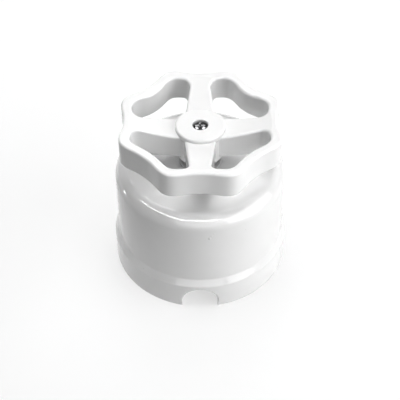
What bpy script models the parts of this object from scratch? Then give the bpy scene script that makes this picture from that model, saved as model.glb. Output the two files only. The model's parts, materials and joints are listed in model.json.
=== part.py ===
"""Surface-mounted porcelain rotary switch with a handwheel knob.

A glazed porcelain cover with a flared foot ring and an arched cable notch stands
over a porcelain base plate. The plate carries four contact fingers with their
terminals and a folded steel bridge. A threaded bush in the bridge guides the
spindle and holds the cover down under a ring nut. The spindle turns an insulating
carrier with a contact blade, and the handwheel is screwed to its upper end.

The switch stands on its wall face: +Z leaves the wall, and the cable notch is at -Y.
The feature that takes the most skill is the handwheel: a lobed rim, four tapering
spokes, four windows with rounded ends, a dished face and a raised hub in one piece.
"""
import math

import bmesh
import bpy
from mathutils import Matrix, Vector

MM = 0.001

# Clearances
FIT = 0.3 * MM                    # between neighbouring pieces

# Cover
COVER_RADIUS = 33.4 * MM
COVER_HEIGHT = 46.6 * MM
COVER_CROWN = 0.4 * MM            # how much the middle of the top rises
COVER_WALL = 3.6 * MM
COVER_CEILING = 4.2 * MM
SHOULDER_RADIUS = 5.5 * MM
FOOT_FLARE = 1.6 * MM             # how far the foot ring stands out
FOOT_HEIGHT = 11.5 * MM
FOOT_CONE_HEIGHT = 3.0 * MM
FOOT_EDGE = 1.0 * MM
GLAZED_EDGE = 0.4 * MM            # small easing of the remaining porcelain edges
CEILING_FILLET = 3.0 * MM
NOTCH_WIDTH = 13.8 * MM
NOTCH_HEIGHT = 9.7 * MM

# Base plate
BASE_THICKNESS = 8.0 * MM
BOSS_RADIUS = 8.0 * MM
BOSS_HEIGHT = 3.0 * MM
BEARING_FLOOR = 5.0 * MM          # porcelain left under the spindle's journal
CABLE_SLOT_DEPTH = 5.5 * MM
WALL_SCREW_SETBACK = 7.0 * MM     # from the plate's edge
WALL_SCREW_HOLE_RADIUS = 2.2 * MM
WALL_SCREW_HEAD_RADIUS = 4.3 * MM
WALL_SCREW_HEAD_DEPTH = 3.5 * MM

# Handwheel
WHEEL_RADIUS = 30.6 * MM          # middle of the wavy outline
LOBE_SWELL = 1.6 * MM
LOBE_ROUNDING = 0.2 * MM
SPOKES = 4
LOBES = 2 * SPOKES                # a hollow over each spoke and one between spokes
RIM_WIDTH = 4.4 * MM
RIM_THICKNESS = 10.5 * MM
RIM_EDGE = 0.9 * MM
LOBE_LIFT = 0.4 * MM
WHEEL_CLEARANCE = 10.1 * MM       # finger room between cover and rim
DISH_DEPTH = 3.3 * MM
DISH_RADIUS = 27.0 * MM
DISH_POWER = 2.5
SPOKE_WIDTH = 7.4 * MM            # at the rim
SPOKE_TAPER = 0.115               # gain in half width for each unit of length
WINDOW_END_RADIUS = 3.3 * MM
WINDOW_HUB_RADIUS = 2.0 * MM
HUB_RADIUS = 9.6 * MM
HUB_RISE = 1.5 * MM
HUB_DISC_THICKNESS = 2.2 * MM
HUB_EDGE = 0.8 * MM
BARREL_RADIUS = 8.9 * MM
BARREL_GAP = 2.0 * MM             # between the barrel and the bush
SCREW_WELL_RADIUS = 3.15 * MM
SCREW_WELL_DEPTH = 4.4 * MM
HUB_WEB = 2.0 * MM                # porcelain clamped between screw and spindle

# Spindle and the pieces that turn on it
SPINDLE_RADIUS = 3.0 * MM
SPINDLE_FLATS = 4.8 * MM          # across the two flats that drive the handwheel
SPINDLE_FLANGE_RADIUS = 6.5 * MM
SPINDLE_FLANGE_THICKNESS = 1.2 * MM
DRIVE_SQUARE = 8.0 * MM
DRIVE_DEPTH = 4.0 * MM
BLADE_THICKNESS = 1.0 * MM
BLADE_WIDTH = 5.0 * MM
BLADE_TIP = 2.5 * MM              # how far the blade's ends stand out of the carrier
CARRIER_RADIUS = 10.5 * MM
CARRIER_HEIGHT = 8.0 * MM
DETENT_GROOVE_RADIUS = 1.6 * MM
DETENT_GROOVE_DEPTH = 0.8 * MM
RETAINER_THICKNESS = 0.8 * MM
RETAINER_RADIUS = 5.0 * MM
RETAINER_GROOVE_DEPTH = 0.7 * MM
THRUST_WASHER_RADIUS = 6.0 * MM
THRUST_WASHER_THICKNESS = 0.8 * MM

# Bush, bridge and cover fastening
BUSH_RADIUS = 5.0 * MM
BUSH_FLANGE_FLATS = 12.0 * MM
BUSH_FLANGE_THICKNESS = 2.0 * MM
BUSH_NUT_FLATS = 13.0 * MM
BUSH_NUT_THICKNESS = 2.5 * MM
COVER_WASHER_RADIUS = 8.2 * MM
COVER_WASHER_THICKNESS = 0.6 * MM
RING_NUT_RADIUS = 7.4 * MM
RING_NUT_THICKNESS = 2.0 * MM
RING_NUT_SLOTS = 4
RING_NUT_SLOT_WIDTH = 1.8 * MM
RING_NUT_SLOT_DEPTH = 0.9 * MM
BRIDGE_SHEET = 1.2 * MM
BRIDGE_WIDTH = 11.0 * MM
BRIDGE_LEG_CLEARANCE = 2.2 * MM   # from the blade's sweep to the legs
BRIDGE_FOOT_LENGTH = 6.0 * MM
BEND_RADIUS = 1.6 * MM
SPRING_SHEET = 0.5 * MM
SPRING_ARM_WIDTH = 2.4 * MM

# Contacts and terminals, one set at each station
STATION_COUNT = 4
FINGER_SHEET = 0.6 * MM
FINGER_WIDTH = 5.0 * MM
FINGER_FOOT_BEYOND = 4.5 * MM     # how far the foot runs out past the terminal's middle
FINGER_RISE = 8.0 * MM
FINGER_CURL = 1.2 * MM
TERMINAL_LENGTH = 8.0 * MM
TERMINAL_WIDTH = 7.0 * MM
TERMINAL_HEIGHT = 8.0 * MM
TERMINAL_EDGE = 0.4 * MM
WIRE_HOLE_RADIUS = 1.5 * MM
WIRE_HOLE_HEIGHT = 4.7 * MM

# Fasteners
KNOB_SCREW_HEAD_RADIUS = 2.75 * MM
KNOB_SCREW_HEAD_HEIGHT = 2.0 * MM
KNOB_SCREW_SHANK_RADIUS = 1.5 * MM
KNOB_SCREW_SHANK_LENGTH = 13.0 * MM
LOCK_WASHER_RADIUS = 2.85 * MM
LOCK_WASHER_THICKNESS = 0.7 * MM
LOCK_WASHER_SPLIT = 0.6 * MM
BASE_SCREW_HEAD_RADIUS = 2.3 * MM
BASE_SCREW_HEAD_HEIGHT = 1.8 * MM
BASE_SCREW_SHANK_RADIUS = 1.3 * MM
CONTACT_SCREW_BITE = 2.2 * MM
TERMINAL_SCREW_HEAD_RADIUS = 2.3 * MM
TERMINAL_SCREW_HEAD_HEIGHT = 1.8 * MM
TERMINAL_SCREW_SHANK_RADIUS = 1.25 * MM
TERMINAL_SCREW_SHANK_LENGTH = 3.0 * MM
BRIDGE_NUT_FLATS = 5.0 * MM
BRIDGE_NUT_THICKNESS = 2.0 * MM
SCREW_EDGE = 0.35 * MM
SLOT_WIDTH = 0.7 * MM
SLOT_DEPTH = 0.8 * MM
CROSS_REACH = 0.6                 # half length of a cross slot, as a share of the head's radius

# Facets
CHORD_ERROR = 0.04 * MM           # how far a fillet's facets may cut inside its arc
COVER_STEPS = 60                  # facets round the cover
BASE_STEPS = 40
HUB_STEPS = 32
MEDIUM_STEPS = 24
SMALL_STEPS = 16
FASTENER_STEPS = 8
LOBE_POINTS = 10                  # outline points for each lobe
SPOKE_POINTS = 3                  # outline points along each straight spoke edge
CONTOUR_SAMPLES = 240             # fineness of the search for a window's end arcs
HALVINGS = 30                     # steps of that search
CORNER_SHARE = 0.48               # part of a short side that an arc may take
MERGE_DISTANCE = 0.001 * MM
SHARP_ANGLE = math.radians(35)
FACING_UP = 0.999                 # least upward normal of the wheel's flat face

# Heights of the stack, each from the piece below it
BOSS_TOP = BASE_THICKNESS + BOSS_HEIGHT
THRUST_WASHER_Z = BOSS_TOP + FIT
FLANGE_Z = THRUST_WASHER_Z + THRUST_WASHER_THICKNESS + FIT
BLADE_Z = FLANGE_Z + SPINDLE_FLANGE_THICKNESS + FIT
CARRIER_Z = BLADE_Z + BLADE_THICKNESS + FIT
CARRIER_TOP = CARRIER_Z + CARRIER_HEIGHT
RETAINER_Z = CARRIER_TOP + FIT
BUSH_Z = RETAINER_Z + RETAINER_THICKNESS + FIT
SPRING_Z = BUSH_Z + BUSH_FLANGE_THICKNESS + FIT
BRIDGE_Z = SPRING_Z + SPRING_SHEET + FIT
BUSH_NUT_Z = BRIDGE_Z + BRIDGE_SHEET + FIT
COVER_TOP = COVER_HEIGHT + COVER_CROWN
COVER_WASHER_Z = COVER_TOP + FIT
RING_NUT_Z = COVER_WASHER_Z + COVER_WASHER_THICKNESS + FIT
BUSH_TOP = RING_NUT_Z + RING_NUT_THICKNESS
HUB_BOTTOM = BUSH_TOP + BARREL_GAP
RIM_BOTTOM = COVER_HEIGHT + WHEEL_CLEARANCE
RIM_TOP = RIM_BOTTOM + RIM_THICKNESS
HUB_TOP = RIM_TOP - DISH_DEPTH + HUB_RISE
SCREW_SEAT = HUB_TOP - SCREW_WELL_DEPTH
LOCK_WASHER_Z = SCREW_SEAT + FIT
KNOB_SCREW_Z = LOCK_WASHER_Z + LOCK_WASHER_THICKNESS + FIT
SPINDLE_TOP = SCREW_SEAT - HUB_WEB - FIT
JOURNAL_BOTTOM = BEARING_FLOOR + FIT
STRIP_Z = BASE_THICKNESS + FIT    # underside of what lies on the base plate
TERMINAL_Z = STRIP_Z + FINGER_SHEET + FIT
BASE_SCREW_SEAT = BASE_SCREW_HEAD_HEIGHT + 2 * FIT

# Radii that follow from a neighbour
FOOT_RADIUS = COVER_RADIUS + FOOT_FLARE
COVER_BORE = COVER_RADIUS - COVER_WALL
BASE_RADIUS = COVER_BORE - FIT
SPINDLE_BORE = SPINDLE_RADIUS + FIT
BUSH_BORE = BUSH_RADIUS + FIT
KNOB_SCREW_BORE = KNOB_SCREW_SHANK_RADIUS + FIT
BASE_SCREW_BORE = BASE_SCREW_SHANK_RADIUS + FIT
WALL_SCREW_X = BASE_RADIUS - WALL_SCREW_SETBACK
BLADE_REACH = CARRIER_RADIUS + BLADE_TIP
FINGER_FACE = BLADE_REACH + FIT
STATION_RADIUS = (FINGER_FACE + FINGER_SHEET + BASE_RADIUS) / 2   # midway to the plate's edge
BRIDGE_LEG = BLADE_REACH + BRIDGE_LEG_CLEARANCE
BRIDGE_SCREW_Y = BRIDGE_LEG + BRIDGE_SHEET + FIT + BRIDGE_NUT_FLATS / 2
CABLE_SLOT_END = BASE_RADIUS - CABLE_SLOT_DEPTH
BLADE_TURN = math.pi / STATION_COUNT   # at rest the blade joins stations 1 and 3

# Surfaces: colour, roughness, metallic
PORCELAIN = ((0.86, 0.86, 0.85), 0.10, 0.0)
UNGLAZED_PORCELAIN = ((0.82, 0.80, 0.76), 0.55, 0.0)
NICKEL = ((0.62, 0.61, 0.58), 0.22, 1.0)
CHROME = ((0.55, 0.55, 0.56), 0.12, 1.0)
STEEL = ((0.46, 0.47, 0.48), 0.35, 1.0)
BRASS = ((0.78, 0.57, 0.25), 0.30, 1.0)
BRONZE = ((0.72, 0.45, 0.22), 0.32, 1.0)
PHENOLIC = ((0.05, 0.03, 0.02), 0.40, 0.0)
NYLON = ((0.80, 0.79, 0.75), 0.45, 0.0)


def clear_scene():
    """Remove every object that the file opened with."""
    for item in list(bpy.data.objects):
        bpy.data.objects.remove(item, do_unlink=True)


def surface(name, values):
    """Return a material of its own for one kind of piece."""
    colour, roughness, metallic = values
    material = bpy.data.materials.new(name + "_surface")
    material.use_nodes = True
    shader = material.node_tree.nodes["Principled BSDF"]
    shader.inputs["Base Color"].default_value = (*colour, 1.0)
    shader.inputs["Roughness"].default_value = roughness
    shader.inputs["Metallic"].default_value = metallic
    return material


def link(name, data):
    """Put new data into the scene as an object at the origin."""
    item = bpy.data.objects.new(name, data)
    bpy.context.scene.collection.objects.link(item)
    return item


def settle(item):
    """Apply an object's modifiers, or turn a curve into a mesh, and return the object."""
    bpy.context.view_layer.update()
    depsgraph = bpy.context.evaluated_depsgraph_get()
    mesh = bpy.data.meshes.new_from_object(item.evaluated_get(depsgraph))
    if item.type == "CURVE":
        name = item.name
        bpy.data.objects.remove(item)
        work = bmesh.new()
        work.from_mesh(mesh)
        bmesh.ops.remove_doubles(work, verts=work.verts, dist=MERGE_DISTANCE)
        work.to_mesh(mesh)
        work.free()
        return link(name, mesh)
    item.modifiers.clear()
    item.data = mesh
    return item


def combine(piece, operation, *tools):
    """Cut, join or intersect a piece with tool solids, which are then removed."""
    for tool in tools:
        modifier = piece.modifiers.new(operation.lower(), "BOOLEAN")
        modifier.operation = operation
        modifier.solver = "EXACT"
        modifier.object = tool
    piece = settle(piece)
    for tool in tools:
        bpy.data.objects.remove(tool)
    return piece


def cut(piece, *tools):
    """Cut the tool solids out of a piece."""
    return combine(piece, "DIFFERENCE", *tools)


def polar(radius, angle):
    """The point at a radius and an angle."""
    return Vector((radius * math.cos(angle), radius * math.sin(angle)))


def arc_segments(radius, sweep):
    """Number of facets that keep an arc within the chord error, two at least."""
    widest = 2 * math.acos(max(0.0, 1 - CHORD_ERROR / radius))
    return max(2, math.ceil(abs(sweep) / widest))


def rounded(corners, closed=False):
    """Turn corners (x, y, radius) into points, easing each corner by an arc.

    An arc is limited to a little under half of the shorter side beside it.
    """
    points = []
    for index, (x, y, radius) in enumerate(corners):
        corner = Vector((x, y))
        at_end = not closed and index in (0, len(corners) - 1)
        if radius == 0 or at_end:
            points.append(corner)
            continue
        to_last = Vector(corners[index - 1][:2]) - corner
        to_next = Vector(corners[(index + 1) % len(corners)][:2]) - corner
        room = CORNER_SHARE * min(to_last.length, to_next.length)
        to_last.normalize()
        to_next.normalize()
        half_angle = to_last.angle(to_next) / 2
        radius = min(radius, room * math.tan(half_angle))
        centre = corner + (to_last + to_next).normalized() * radius / math.sin(half_angle)
        first = corner + to_last * radius / math.tan(half_angle) - centre
        sweep = math.pi - 2 * half_angle
        if to_last.x * to_next.y - to_last.y * to_next.x > 0:
            sweep = -sweep
        segments = arc_segments(radius, sweep)
        for step in range(segments + 1):
            points.append(centre + Matrix.Rotation(sweep * step / segments, 2) @ first)
    return points


def turned(name, corners, steps, hollow=False):
    """Turn a profile of (radius, height, fillet) corners about the Z axis.

    The profile runs down its outer side. A hollow one is a closed loop.
    """
    points = rounded(corners, closed=hollow)
    mesh = bpy.data.meshes.new(name)
    edges = [(index, index + 1) for index in range(len(points) - 1)]
    if hollow:
        edges.append((len(points) - 1, 0))
    mesh.from_pydata([(point.x, 0.0, point.y) for point in points], edges, [])
    item = link(name, mesh)
    screw = item.modifiers.new("turn", "SCREW")
    screw.steps = steps
    screw.render_steps = steps
    screw.use_merge_vertices = True
    screw.merge_threshold = MERGE_DISTANCE
    return settle(item)


def rod(radius, bottom, top, steps=FASTENER_STEPS, x=0.0, y=0.0):
    """A plain upright cylinder, used as a cutting tool, with a flat and no edge towards X."""
    mesh = bpy.data.meshes.new("rod")
    work = bmesh.new()
    place = Matrix.Translation((x, y, (bottom + top) / 2)) @ Matrix.Rotation(math.pi / steps, 4, "Z")
    bmesh.ops.create_cone(work, cap_ends=True, segments=steps, radius1=radius, radius2=radius,
                          depth=top - bottom, matrix=place)
    work.to_mesh(mesh)
    work.free()
    return link("rod", mesh)


def lying_rod(radius, half_length, height, steps=FASTENER_STEPS):
    """A cylinder along X at a height, used as a cutting tool."""
    item = rod(radius, -half_length, half_length, steps)
    item.data.transform(Matrix.Translation((0, 0, height)) @ Matrix.Rotation(math.pi / 2, 4, "Y"))
    return item


def block(name, size, centre):
    """A box of the given size about a centre."""
    mesh = bpy.data.meshes.new(name)
    work = bmesh.new()
    bmesh.ops.create_cube(work, size=1.0,
                          matrix=Matrix.Translation(centre) @ Matrix.Diagonal((*size, 1.0)))
    work.to_mesh(mesh)
    work.free()
    return link(name, mesh)


def plate(name, outlines, bottom, top, edge=0.0):
    """Extrude closed outlines, the first with the others as holes, with eased edges."""
    curve = bpy.data.curves.new(name, "CURVE")
    curve.dimensions = "2D"
    curve.fill_mode = "BOTH"
    curve.extrude = (top - bottom) / 2 - edge
    curve.bevel_depth = edge
    curve.bevel_resolution = 1
    curve.offset = -edge
    for outline in outlines:
        spline = curve.splines.new("POLY")
        spline.points.add(len(outline) - 1)
        for point, place in zip(spline.points, outline):
            point.co = (place[0], place[1], 0.0, 1.0)
        spline.use_cyclic_u = True
    item = settle(link(name, curve))
    item.data.transform(Matrix.Translation((0, 0, (bottom + top) / 2)))
    return item


def hexagon(flats):
    """Corners of a hexagon, two of its flats square to X."""
    radius = flats / math.sqrt(3)
    angles = [math.radians(30 + 60 * index) for index in range(6)]
    return [(radius * math.cos(angle), radius * math.sin(angle)) for angle in angles]


def square(side, turn=0.0):
    """Corners of a square about the axis, turned by an angle."""
    half_diagonal = side / math.sqrt(2)
    return [polar(half_diagonal, turn + math.radians(45 + 90 * index)) for index in range(4)]


def bent_strip(name, stations, thickness):
    """Fold a sheet strip along X through stations (x, z, half width)."""
    mesh = bpy.data.meshes.new(name)
    work = bmesh.new()
    left = [work.verts.new((x, half_width, z)) for x, z, half_width in stations]
    edges = [work.edges.new(pair) for pair in zip(left, left[1:])]
    grown = bmesh.ops.extrude_edge_only(work, edges=edges)
    for vertex in grown["geom"]:
        if isinstance(vertex, bmesh.types.BMVert):
            vertex.co.y = -vertex.co.y
    work.to_mesh(mesh)
    work.free()
    item = link(name, mesh)
    shell = item.modifiers.new("sheet", "SOLIDIFY")
    shell.thickness = thickness
    shell.offset = 0.0
    shell.use_even_offset = True
    item = settle(item)
    work = bmesh.new()
    work.from_mesh(item.data)
    bmesh.ops.recalc_face_normals(work, faces=work.faces)
    work.to_mesh(item.data)
    work.free()
    return item


def screw(name, head_radius, head_height, shank_radius, shank_length, cross=False):
    """A screw with its head above z = 0 and its shank below, slotted or with a cross."""
    item = turned(name, [
        (0, head_height, 0),
        (head_radius, head_height, SCREW_EDGE),
        (head_radius, 0, 0),
        (shank_radius, 0, 0),
        (shank_radius, -shank_length, 0),
        (0, -shank_length, 0)], FASTENER_STEPS)
    length = 2 * CROSS_REACH * head_radius if cross else 3 * head_radius
    centre = (0, 0, head_height)
    item = cut(item, block("slot", (length, SLOT_WIDTH, 2 * SLOT_DEPTH), centre))
    if cross:
        item = cut(item, block("slot", (SLOT_WIDTH, length, 2 * SLOT_DEPTH), centre))
    return item


def finish(item, values, parent=None, height=0.0, turn=0.0):
    """Give a piece its material and shading, and stand it at its height and turn."""
    item.data.name = item.name
    item.data.shade_smooth()
    item.data.set_sharp_from_angle(angle=SHARP_ANGLE)
    item.data.materials.clear()
    item.data.materials.append(surface(item.name, values))
    item.parent = parent
    item.location = (0, 0, height)
    item.rotation_euler = (0, 0, turn)
    return item


def axis_empty(name, turn=0.0):
    """An empty on the switch's axis, which carries pieces that belong together."""
    item = link(name, None)
    item.empty_display_size = HUB_RADIUS
    item.rotation_euler = (0, 0, turn)
    return item


def make_cover():
    """Turned porcelain cover: shouldered cylinder, coned step and foot ring, cut by the notch."""
    cover = turned("cover", [
        (BUSH_BORE, COVER_TOP, GLAZED_EDGE),
        (COVER_WASHER_RADIUS + FIT, COVER_TOP, 0),
        (COVER_RADIUS, COVER_HEIGHT, SHOULDER_RADIUS),
        (COVER_RADIUS, FOOT_HEIGHT + FOOT_CONE_HEIGHT, FOOT_EDGE),
        (FOOT_RADIUS, FOOT_HEIGHT, FOOT_EDGE),
        (FOOT_RADIUS, 0, GLAZED_EDGE),
        (COVER_BORE, 0, 0),
        (COVER_BORE, COVER_TOP - COVER_CEILING, CEILING_FILLET),
        (BUSH_BORE, COVER_TOP - COVER_CEILING, 0)], COVER_STEPS, hollow=True)
    half = NOTCH_WIDTH / 2
    arch = plate("arch", [rounded([
        (half, -FOOT_HEIGHT, 0),
        (half, NOTCH_HEIGHT, half),
        (-half, NOTCH_HEIGHT, half),
        (-half, -FOOT_HEIGHT, 0)], closed=True)], COVER_BORE / 2, FOOT_RADIUS + FOOT_FLARE)
    arch.data.transform(Matrix.Rotation(math.pi / 2, 4, "X"))
    return finish(cut(cover, arch), PORCELAIN)


def make_base_plate():
    """Porcelain disc with a bearing boss, cable slot and every fixing hole."""
    base = turned("base_plate", [
        (0, BEARING_FLOOR, 0),
        (SPINDLE_BORE, BEARING_FLOOR, 0),
        (SPINDLE_BORE, BOSS_TOP, 0),
        (BOSS_RADIUS, BOSS_TOP, GLAZED_EDGE),
        (BOSS_RADIUS, BASE_THICKNESS, 0),
        (BASE_RADIUS, BASE_THICKNESS, GLAZED_EDGE),
        (BASE_RADIUS, 0, GLAZED_EDGE),
        (0, 0, 0)], BASE_STEPS)
    half = NOTCH_WIDTH / 2
    slot = plate("cable_slot", [rounded([
        (half, -CABLE_SLOT_END, half / 2),
        (-half, -CABLE_SLOT_END, half / 2),
        (-half, -FOOT_RADIUS, 0),
        (half, -FOOT_RADIUS, 0)], closed=True)], -FIT, BOSS_TOP)
    base = cut(base, slot)
    for side in (-1, 1):
        x = side * WALL_SCREW_X
        head_floor = BASE_THICKNESS - WALL_SCREW_HEAD_DEPTH
        base = cut(base, rod(WALL_SCREW_HOLE_RADIUS, -FIT, BOSS_TOP, SMALL_STEPS, x))
        base = cut(base, rod(WALL_SCREW_HEAD_RADIUS, head_floor, BOSS_TOP, SMALL_STEPS, x))
    screw_places = [(0, -BRIDGE_SCREW_Y), (0, BRIDGE_SCREW_Y)]
    for turn in station_turns():
        screw_places.append((STATION_RADIUS * math.cos(turn), STATION_RADIUS * math.sin(turn)))
    for x, y in screw_places:
        base = cut(base, rod(BASE_SCREW_BORE, -FIT, BOSS_TOP, x=x, y=y))
        base = cut(base, rod(BASE_SCREW_HEAD_RADIUS + FIT, -FIT, BASE_SCREW_SEAT, x=x, y=y))
    return finish(base, UNGLAZED_PORCELAIN)


def rim_radius(angle):
    """Radius of the handwheel's outline at an angle from a spoke."""
    return (WHEEL_RADIUS - LOBE_SWELL * math.cos(LOBES * angle)
            + LOBE_ROUNDING * math.cos(2 * LOBES * angle))


def window_outline():
    """Outline of the window that follows the spoke along +X.

    Half of it is worked out and mirrored about the line midway between two spokes: an
    arc at the hub, the tapering spoke's edge, an arc that is tangent to the edge and to
    the rim's inner contour, and that contour up to the middle line.
    """
    middle = math.pi / SPOKES
    slope = -math.atan(SPOKE_TAPER)
    along = polar(1, slope)
    inward = polar(1, slope + math.pi / 2)
    half_width = SPOKE_WIDTH / 2 + SPOKE_TAPER * (WHEEL_RADIUS - RIM_WIDTH)
    edge_start = Vector((0, half_width))
    contour = []
    for index in range(CONTOUR_SAMPLES + 1):
        angle = middle * index / CONTOUR_SAMPLES
        contour.append(polar(rim_radius(angle) - RIM_WIDTH, angle))

    def nearest(centre):
        return min(contour, key=lambda point: (point - centre).length)

    near = 0.0
    far = WHEEL_RADIUS
    for _ in range(HALVINGS):
        reach = (near + far) / 2
        centre = edge_start + along * reach + inward * WINDOW_END_RADIUS
        outside = centre.length > (WHEEL_RADIUS - RIM_WIDTH)
        if outside or (nearest(centre) - centre).length < WINDOW_END_RADIUS:
            far = reach
        else:
            near = reach
    centre = edge_start + along * near + inward * WINDOW_END_RADIUS
    touch = nearest(centre)
    first = math.atan2(-inward.y, -inward.x)
    last = math.atan2(touch.y - centre.y, touch.x - centre.x)
    corner_reach = (half_width * math.cos(middle)
                    / (math.sin(middle) * math.cos(slope) - math.cos(middle) * math.sin(slope)))
    corner = edge_start + along * corner_reach
    opening = middle - slope
    hub_centre = polar(corner.length + WINDOW_HUB_RADIUS / math.sin(opening), middle)

    half = []
    hub_sweep = math.pi / 2 - opening
    hub_steps = arc_segments(WINDOW_HUB_RADIUS, hub_sweep)
    for step in range(hub_steps + 1):
        turn = middle + math.pi + hub_sweep * step / hub_steps
        half.append(hub_centre + polar(WINDOW_HUB_RADIUS, turn))
    edge_ends = half[-1], centre + polar(WINDOW_END_RADIUS, first)
    for step in range(1, SPOKE_POINTS + 1):
        half.append(edge_ends[0].lerp(edge_ends[1], step / (SPOKE_POINTS + 1)))
    end_steps = arc_segments(WINDOW_END_RADIUS, last - first)
    for step in range(end_steps + 1):
        half.append(centre + polar(WINDOW_END_RADIUS, first + (last - first) * step / end_steps))
    touch_angle = math.atan2(touch.y, touch.x)
    contour_steps = LOBE_POINTS // 2
    for step in range(1, contour_steps + 1):
        angle = touch_angle + (middle - touch_angle) * step / contour_steps
        half.append(polar(rim_radius(angle) - RIM_WIDTH, angle))
    axis = polar(1, middle)
    mirrored = [2 * point.dot(axis) * axis - point for point in half[1:-1]]
    return half + mirrored[::-1]


def face_height(radius):
    """Height of the handwheel's upper face: dished to the hub, lifted on the lobes."""
    if radius < DISH_RADIUS:
        return RIM_TOP - DISH_DEPTH * (1 - (radius / DISH_RADIUS) ** DISH_POWER)
    lobe_reach = WHEEL_RADIUS + LOBE_SWELL + LOBE_ROUNDING - DISH_RADIUS
    return RIM_TOP + LOBE_LIFT * (radius - DISH_RADIUS) / lobe_reach


def dish(mesh):
    """Even out the flat upper face's triangles, then sink it to the dished form."""
    middle = (RIM_BOTTOM + RIM_TOP) / 2
    work = bmesh.new()
    work.from_mesh(mesh)
    flat = {face for face in work.faces if face.normal.z > FACING_UP}
    inner = [edge for edge in work.edges if flat.issuperset(edge.link_faces)]
    bmesh.ops.beautify_fill(work, faces=list(flat), edges=inner, method="AREA")
    for vertex in work.verts:
        if vertex.co.z > middle:
            vertex.co.z += face_height(vertex.co.xy.length) - RIM_TOP
    work.to_mesh(mesh)
    work.free()


def double_d(radius, flats):
    """Outline of a round bar with two opposite flats square to Y."""
    angle = math.asin(flats / 2 / radius)
    steps = SMALL_STEPS // 4
    turns = [angle * (2 * step / steps - 1) for step in range(steps + 1)]
    right = [polar(radius, turn) for turn in turns]
    return right + [-point for point in right]


def make_handwheel(parent):
    """Porcelain handwheel: pierced lobed plate, dished on top, joined to a turned hub."""
    count = LOBES * LOBE_POINTS
    outline = [polar(rim_radius(math.tau * index / count), math.tau * index / count)
               for index in range(count)]
    window = window_outline()
    windows = [[Matrix.Rotation(math.tau * index / SPOKES, 2) @ point for point in window]
               for index in range(SPOKES)]
    wheel = plate("handwheel", [outline, *windows], RIM_BOTTOM, RIM_TOP, RIM_EDGE)
    dish(wheel.data)
    hub = turned("hub", [
        (0, HUB_TOP, 0),
        (HUB_RADIUS, HUB_TOP, HUB_EDGE),
        (HUB_RADIUS, HUB_TOP - HUB_DISC_THICKNESS, GLAZED_EDGE),
        (BARREL_RADIUS, HUB_TOP - HUB_DISC_THICKNESS - HUB_EDGE, 0),
        (BARREL_RADIUS, HUB_BOTTOM, GLAZED_EDGE),
        (0, HUB_BOTTOM, 0)], HUB_STEPS)
    wheel = combine(wheel, "UNION", hub)
    socket = plate("socket", [double_d(SPINDLE_BORE, SPINDLE_FLATS + 2 * FIT)],
                   HUB_BOTTOM - FIT, SCREW_SEAT - HUB_WEB)
    wheel = cut(wheel, socket)
    wheel = cut(wheel, rod(KNOB_SCREW_BORE, HUB_BOTTOM, HUB_TOP, SMALL_STEPS))
    wheel = cut(wheel, rod(SCREW_WELL_RADIUS, SCREW_SEAT, HUB_TOP + FIT, MEDIUM_STEPS))
    return finish(wheel, PORCELAIN, parent)


def make_spindle(parent):
    """Steel spindle: journal, flange, drive square, retainer groove, flats and tapped end."""
    thread_bottom = KNOB_SCREW_Z - KNOB_SCREW_SHANK_LENGTH - FIT
    groove_radius = SPINDLE_RADIUS - RETAINER_GROOVE_DEPTH
    spindle = turned("spindle", [
        (0, thread_bottom, 0),
        (KNOB_SCREW_BORE, thread_bottom, 0),
        (KNOB_SCREW_BORE, SPINDLE_TOP, 0),
        (SPINDLE_RADIUS, SPINDLE_TOP, FIT),
        (SPINDLE_RADIUS, BUSH_Z, 0),
        (groove_radius, BUSH_Z, 0),
        (groove_radius, CARRIER_TOP, 0),
        (SPINDLE_RADIUS, CARRIER_TOP, 0),
        (SPINDLE_RADIUS, FLANGE_Z + SPINDLE_FLANGE_THICKNESS, 0),
        (SPINDLE_FLANGE_RADIUS, FLANGE_Z + SPINDLE_FLANGE_THICKNESS, 0),
        (SPINDLE_FLANGE_RADIUS, FLANGE_Z, 0),
        (SPINDLE_RADIUS, FLANGE_Z, 0),
        (SPINDLE_RADIUS, JOURNAL_BOTTOM, FIT),
        (0, JOURNAL_BOTTOM, 0)], SMALL_STEPS)
    drive = plate("drive", [square(DRIVE_SQUARE, BLADE_TURN)],
                  FLANGE_Z + SPINDLE_FLANGE_THICKNESS / 2, CARRIER_Z + DRIVE_DEPTH)
    spindle = combine(spindle, "UNION", drive)
    flats_bottom = HUB_BOTTOM - FIT
    for side in (-1, 1):
        centre = (0, side * (SPINDLE_FLATS / 2 + SPINDLE_RADIUS), (flats_bottom + HUB_TOP) / 2)
        size = (3 * SPINDLE_RADIUS, 2 * SPINDLE_RADIUS, HUB_TOP - flats_bottom)
        spindle = cut(spindle, block("flat", size, centre))
    return finish(spindle, STEEL, parent)


def make_contact_blade(parent):
    """Flat bronze blade with round ends, driven by the spindle's square."""
    tip_angle = math.asin(BLADE_WIDTH / 2 / BLADE_REACH)
    turns = [tip_angle * (step / 2 - 1) for step in range(5)]
    right = [polar(BLADE_REACH, turn) for turn in turns]
    waist = DRIVE_SQUARE / 2 + BLADE_WIDTH / 2
    ear = [Vector((waist, waist)), Vector((-waist, waist))]
    neck = [Vector((waist, BLADE_WIDTH / 2))]
    mirror_neck = [Vector((-waist, BLADE_WIDTH / 2))]
    upper = right + neck + ear + mirror_neck
    outline = upper + [-point for point in upper]
    hole = square(DRIVE_SQUARE + 2 * FIT)
    blade = plate("contact_blade", [outline, hole], 0, BLADE_THICKNESS)
    return finish(blade, BRONZE, parent, BLADE_Z, BLADE_TURN)


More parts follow.
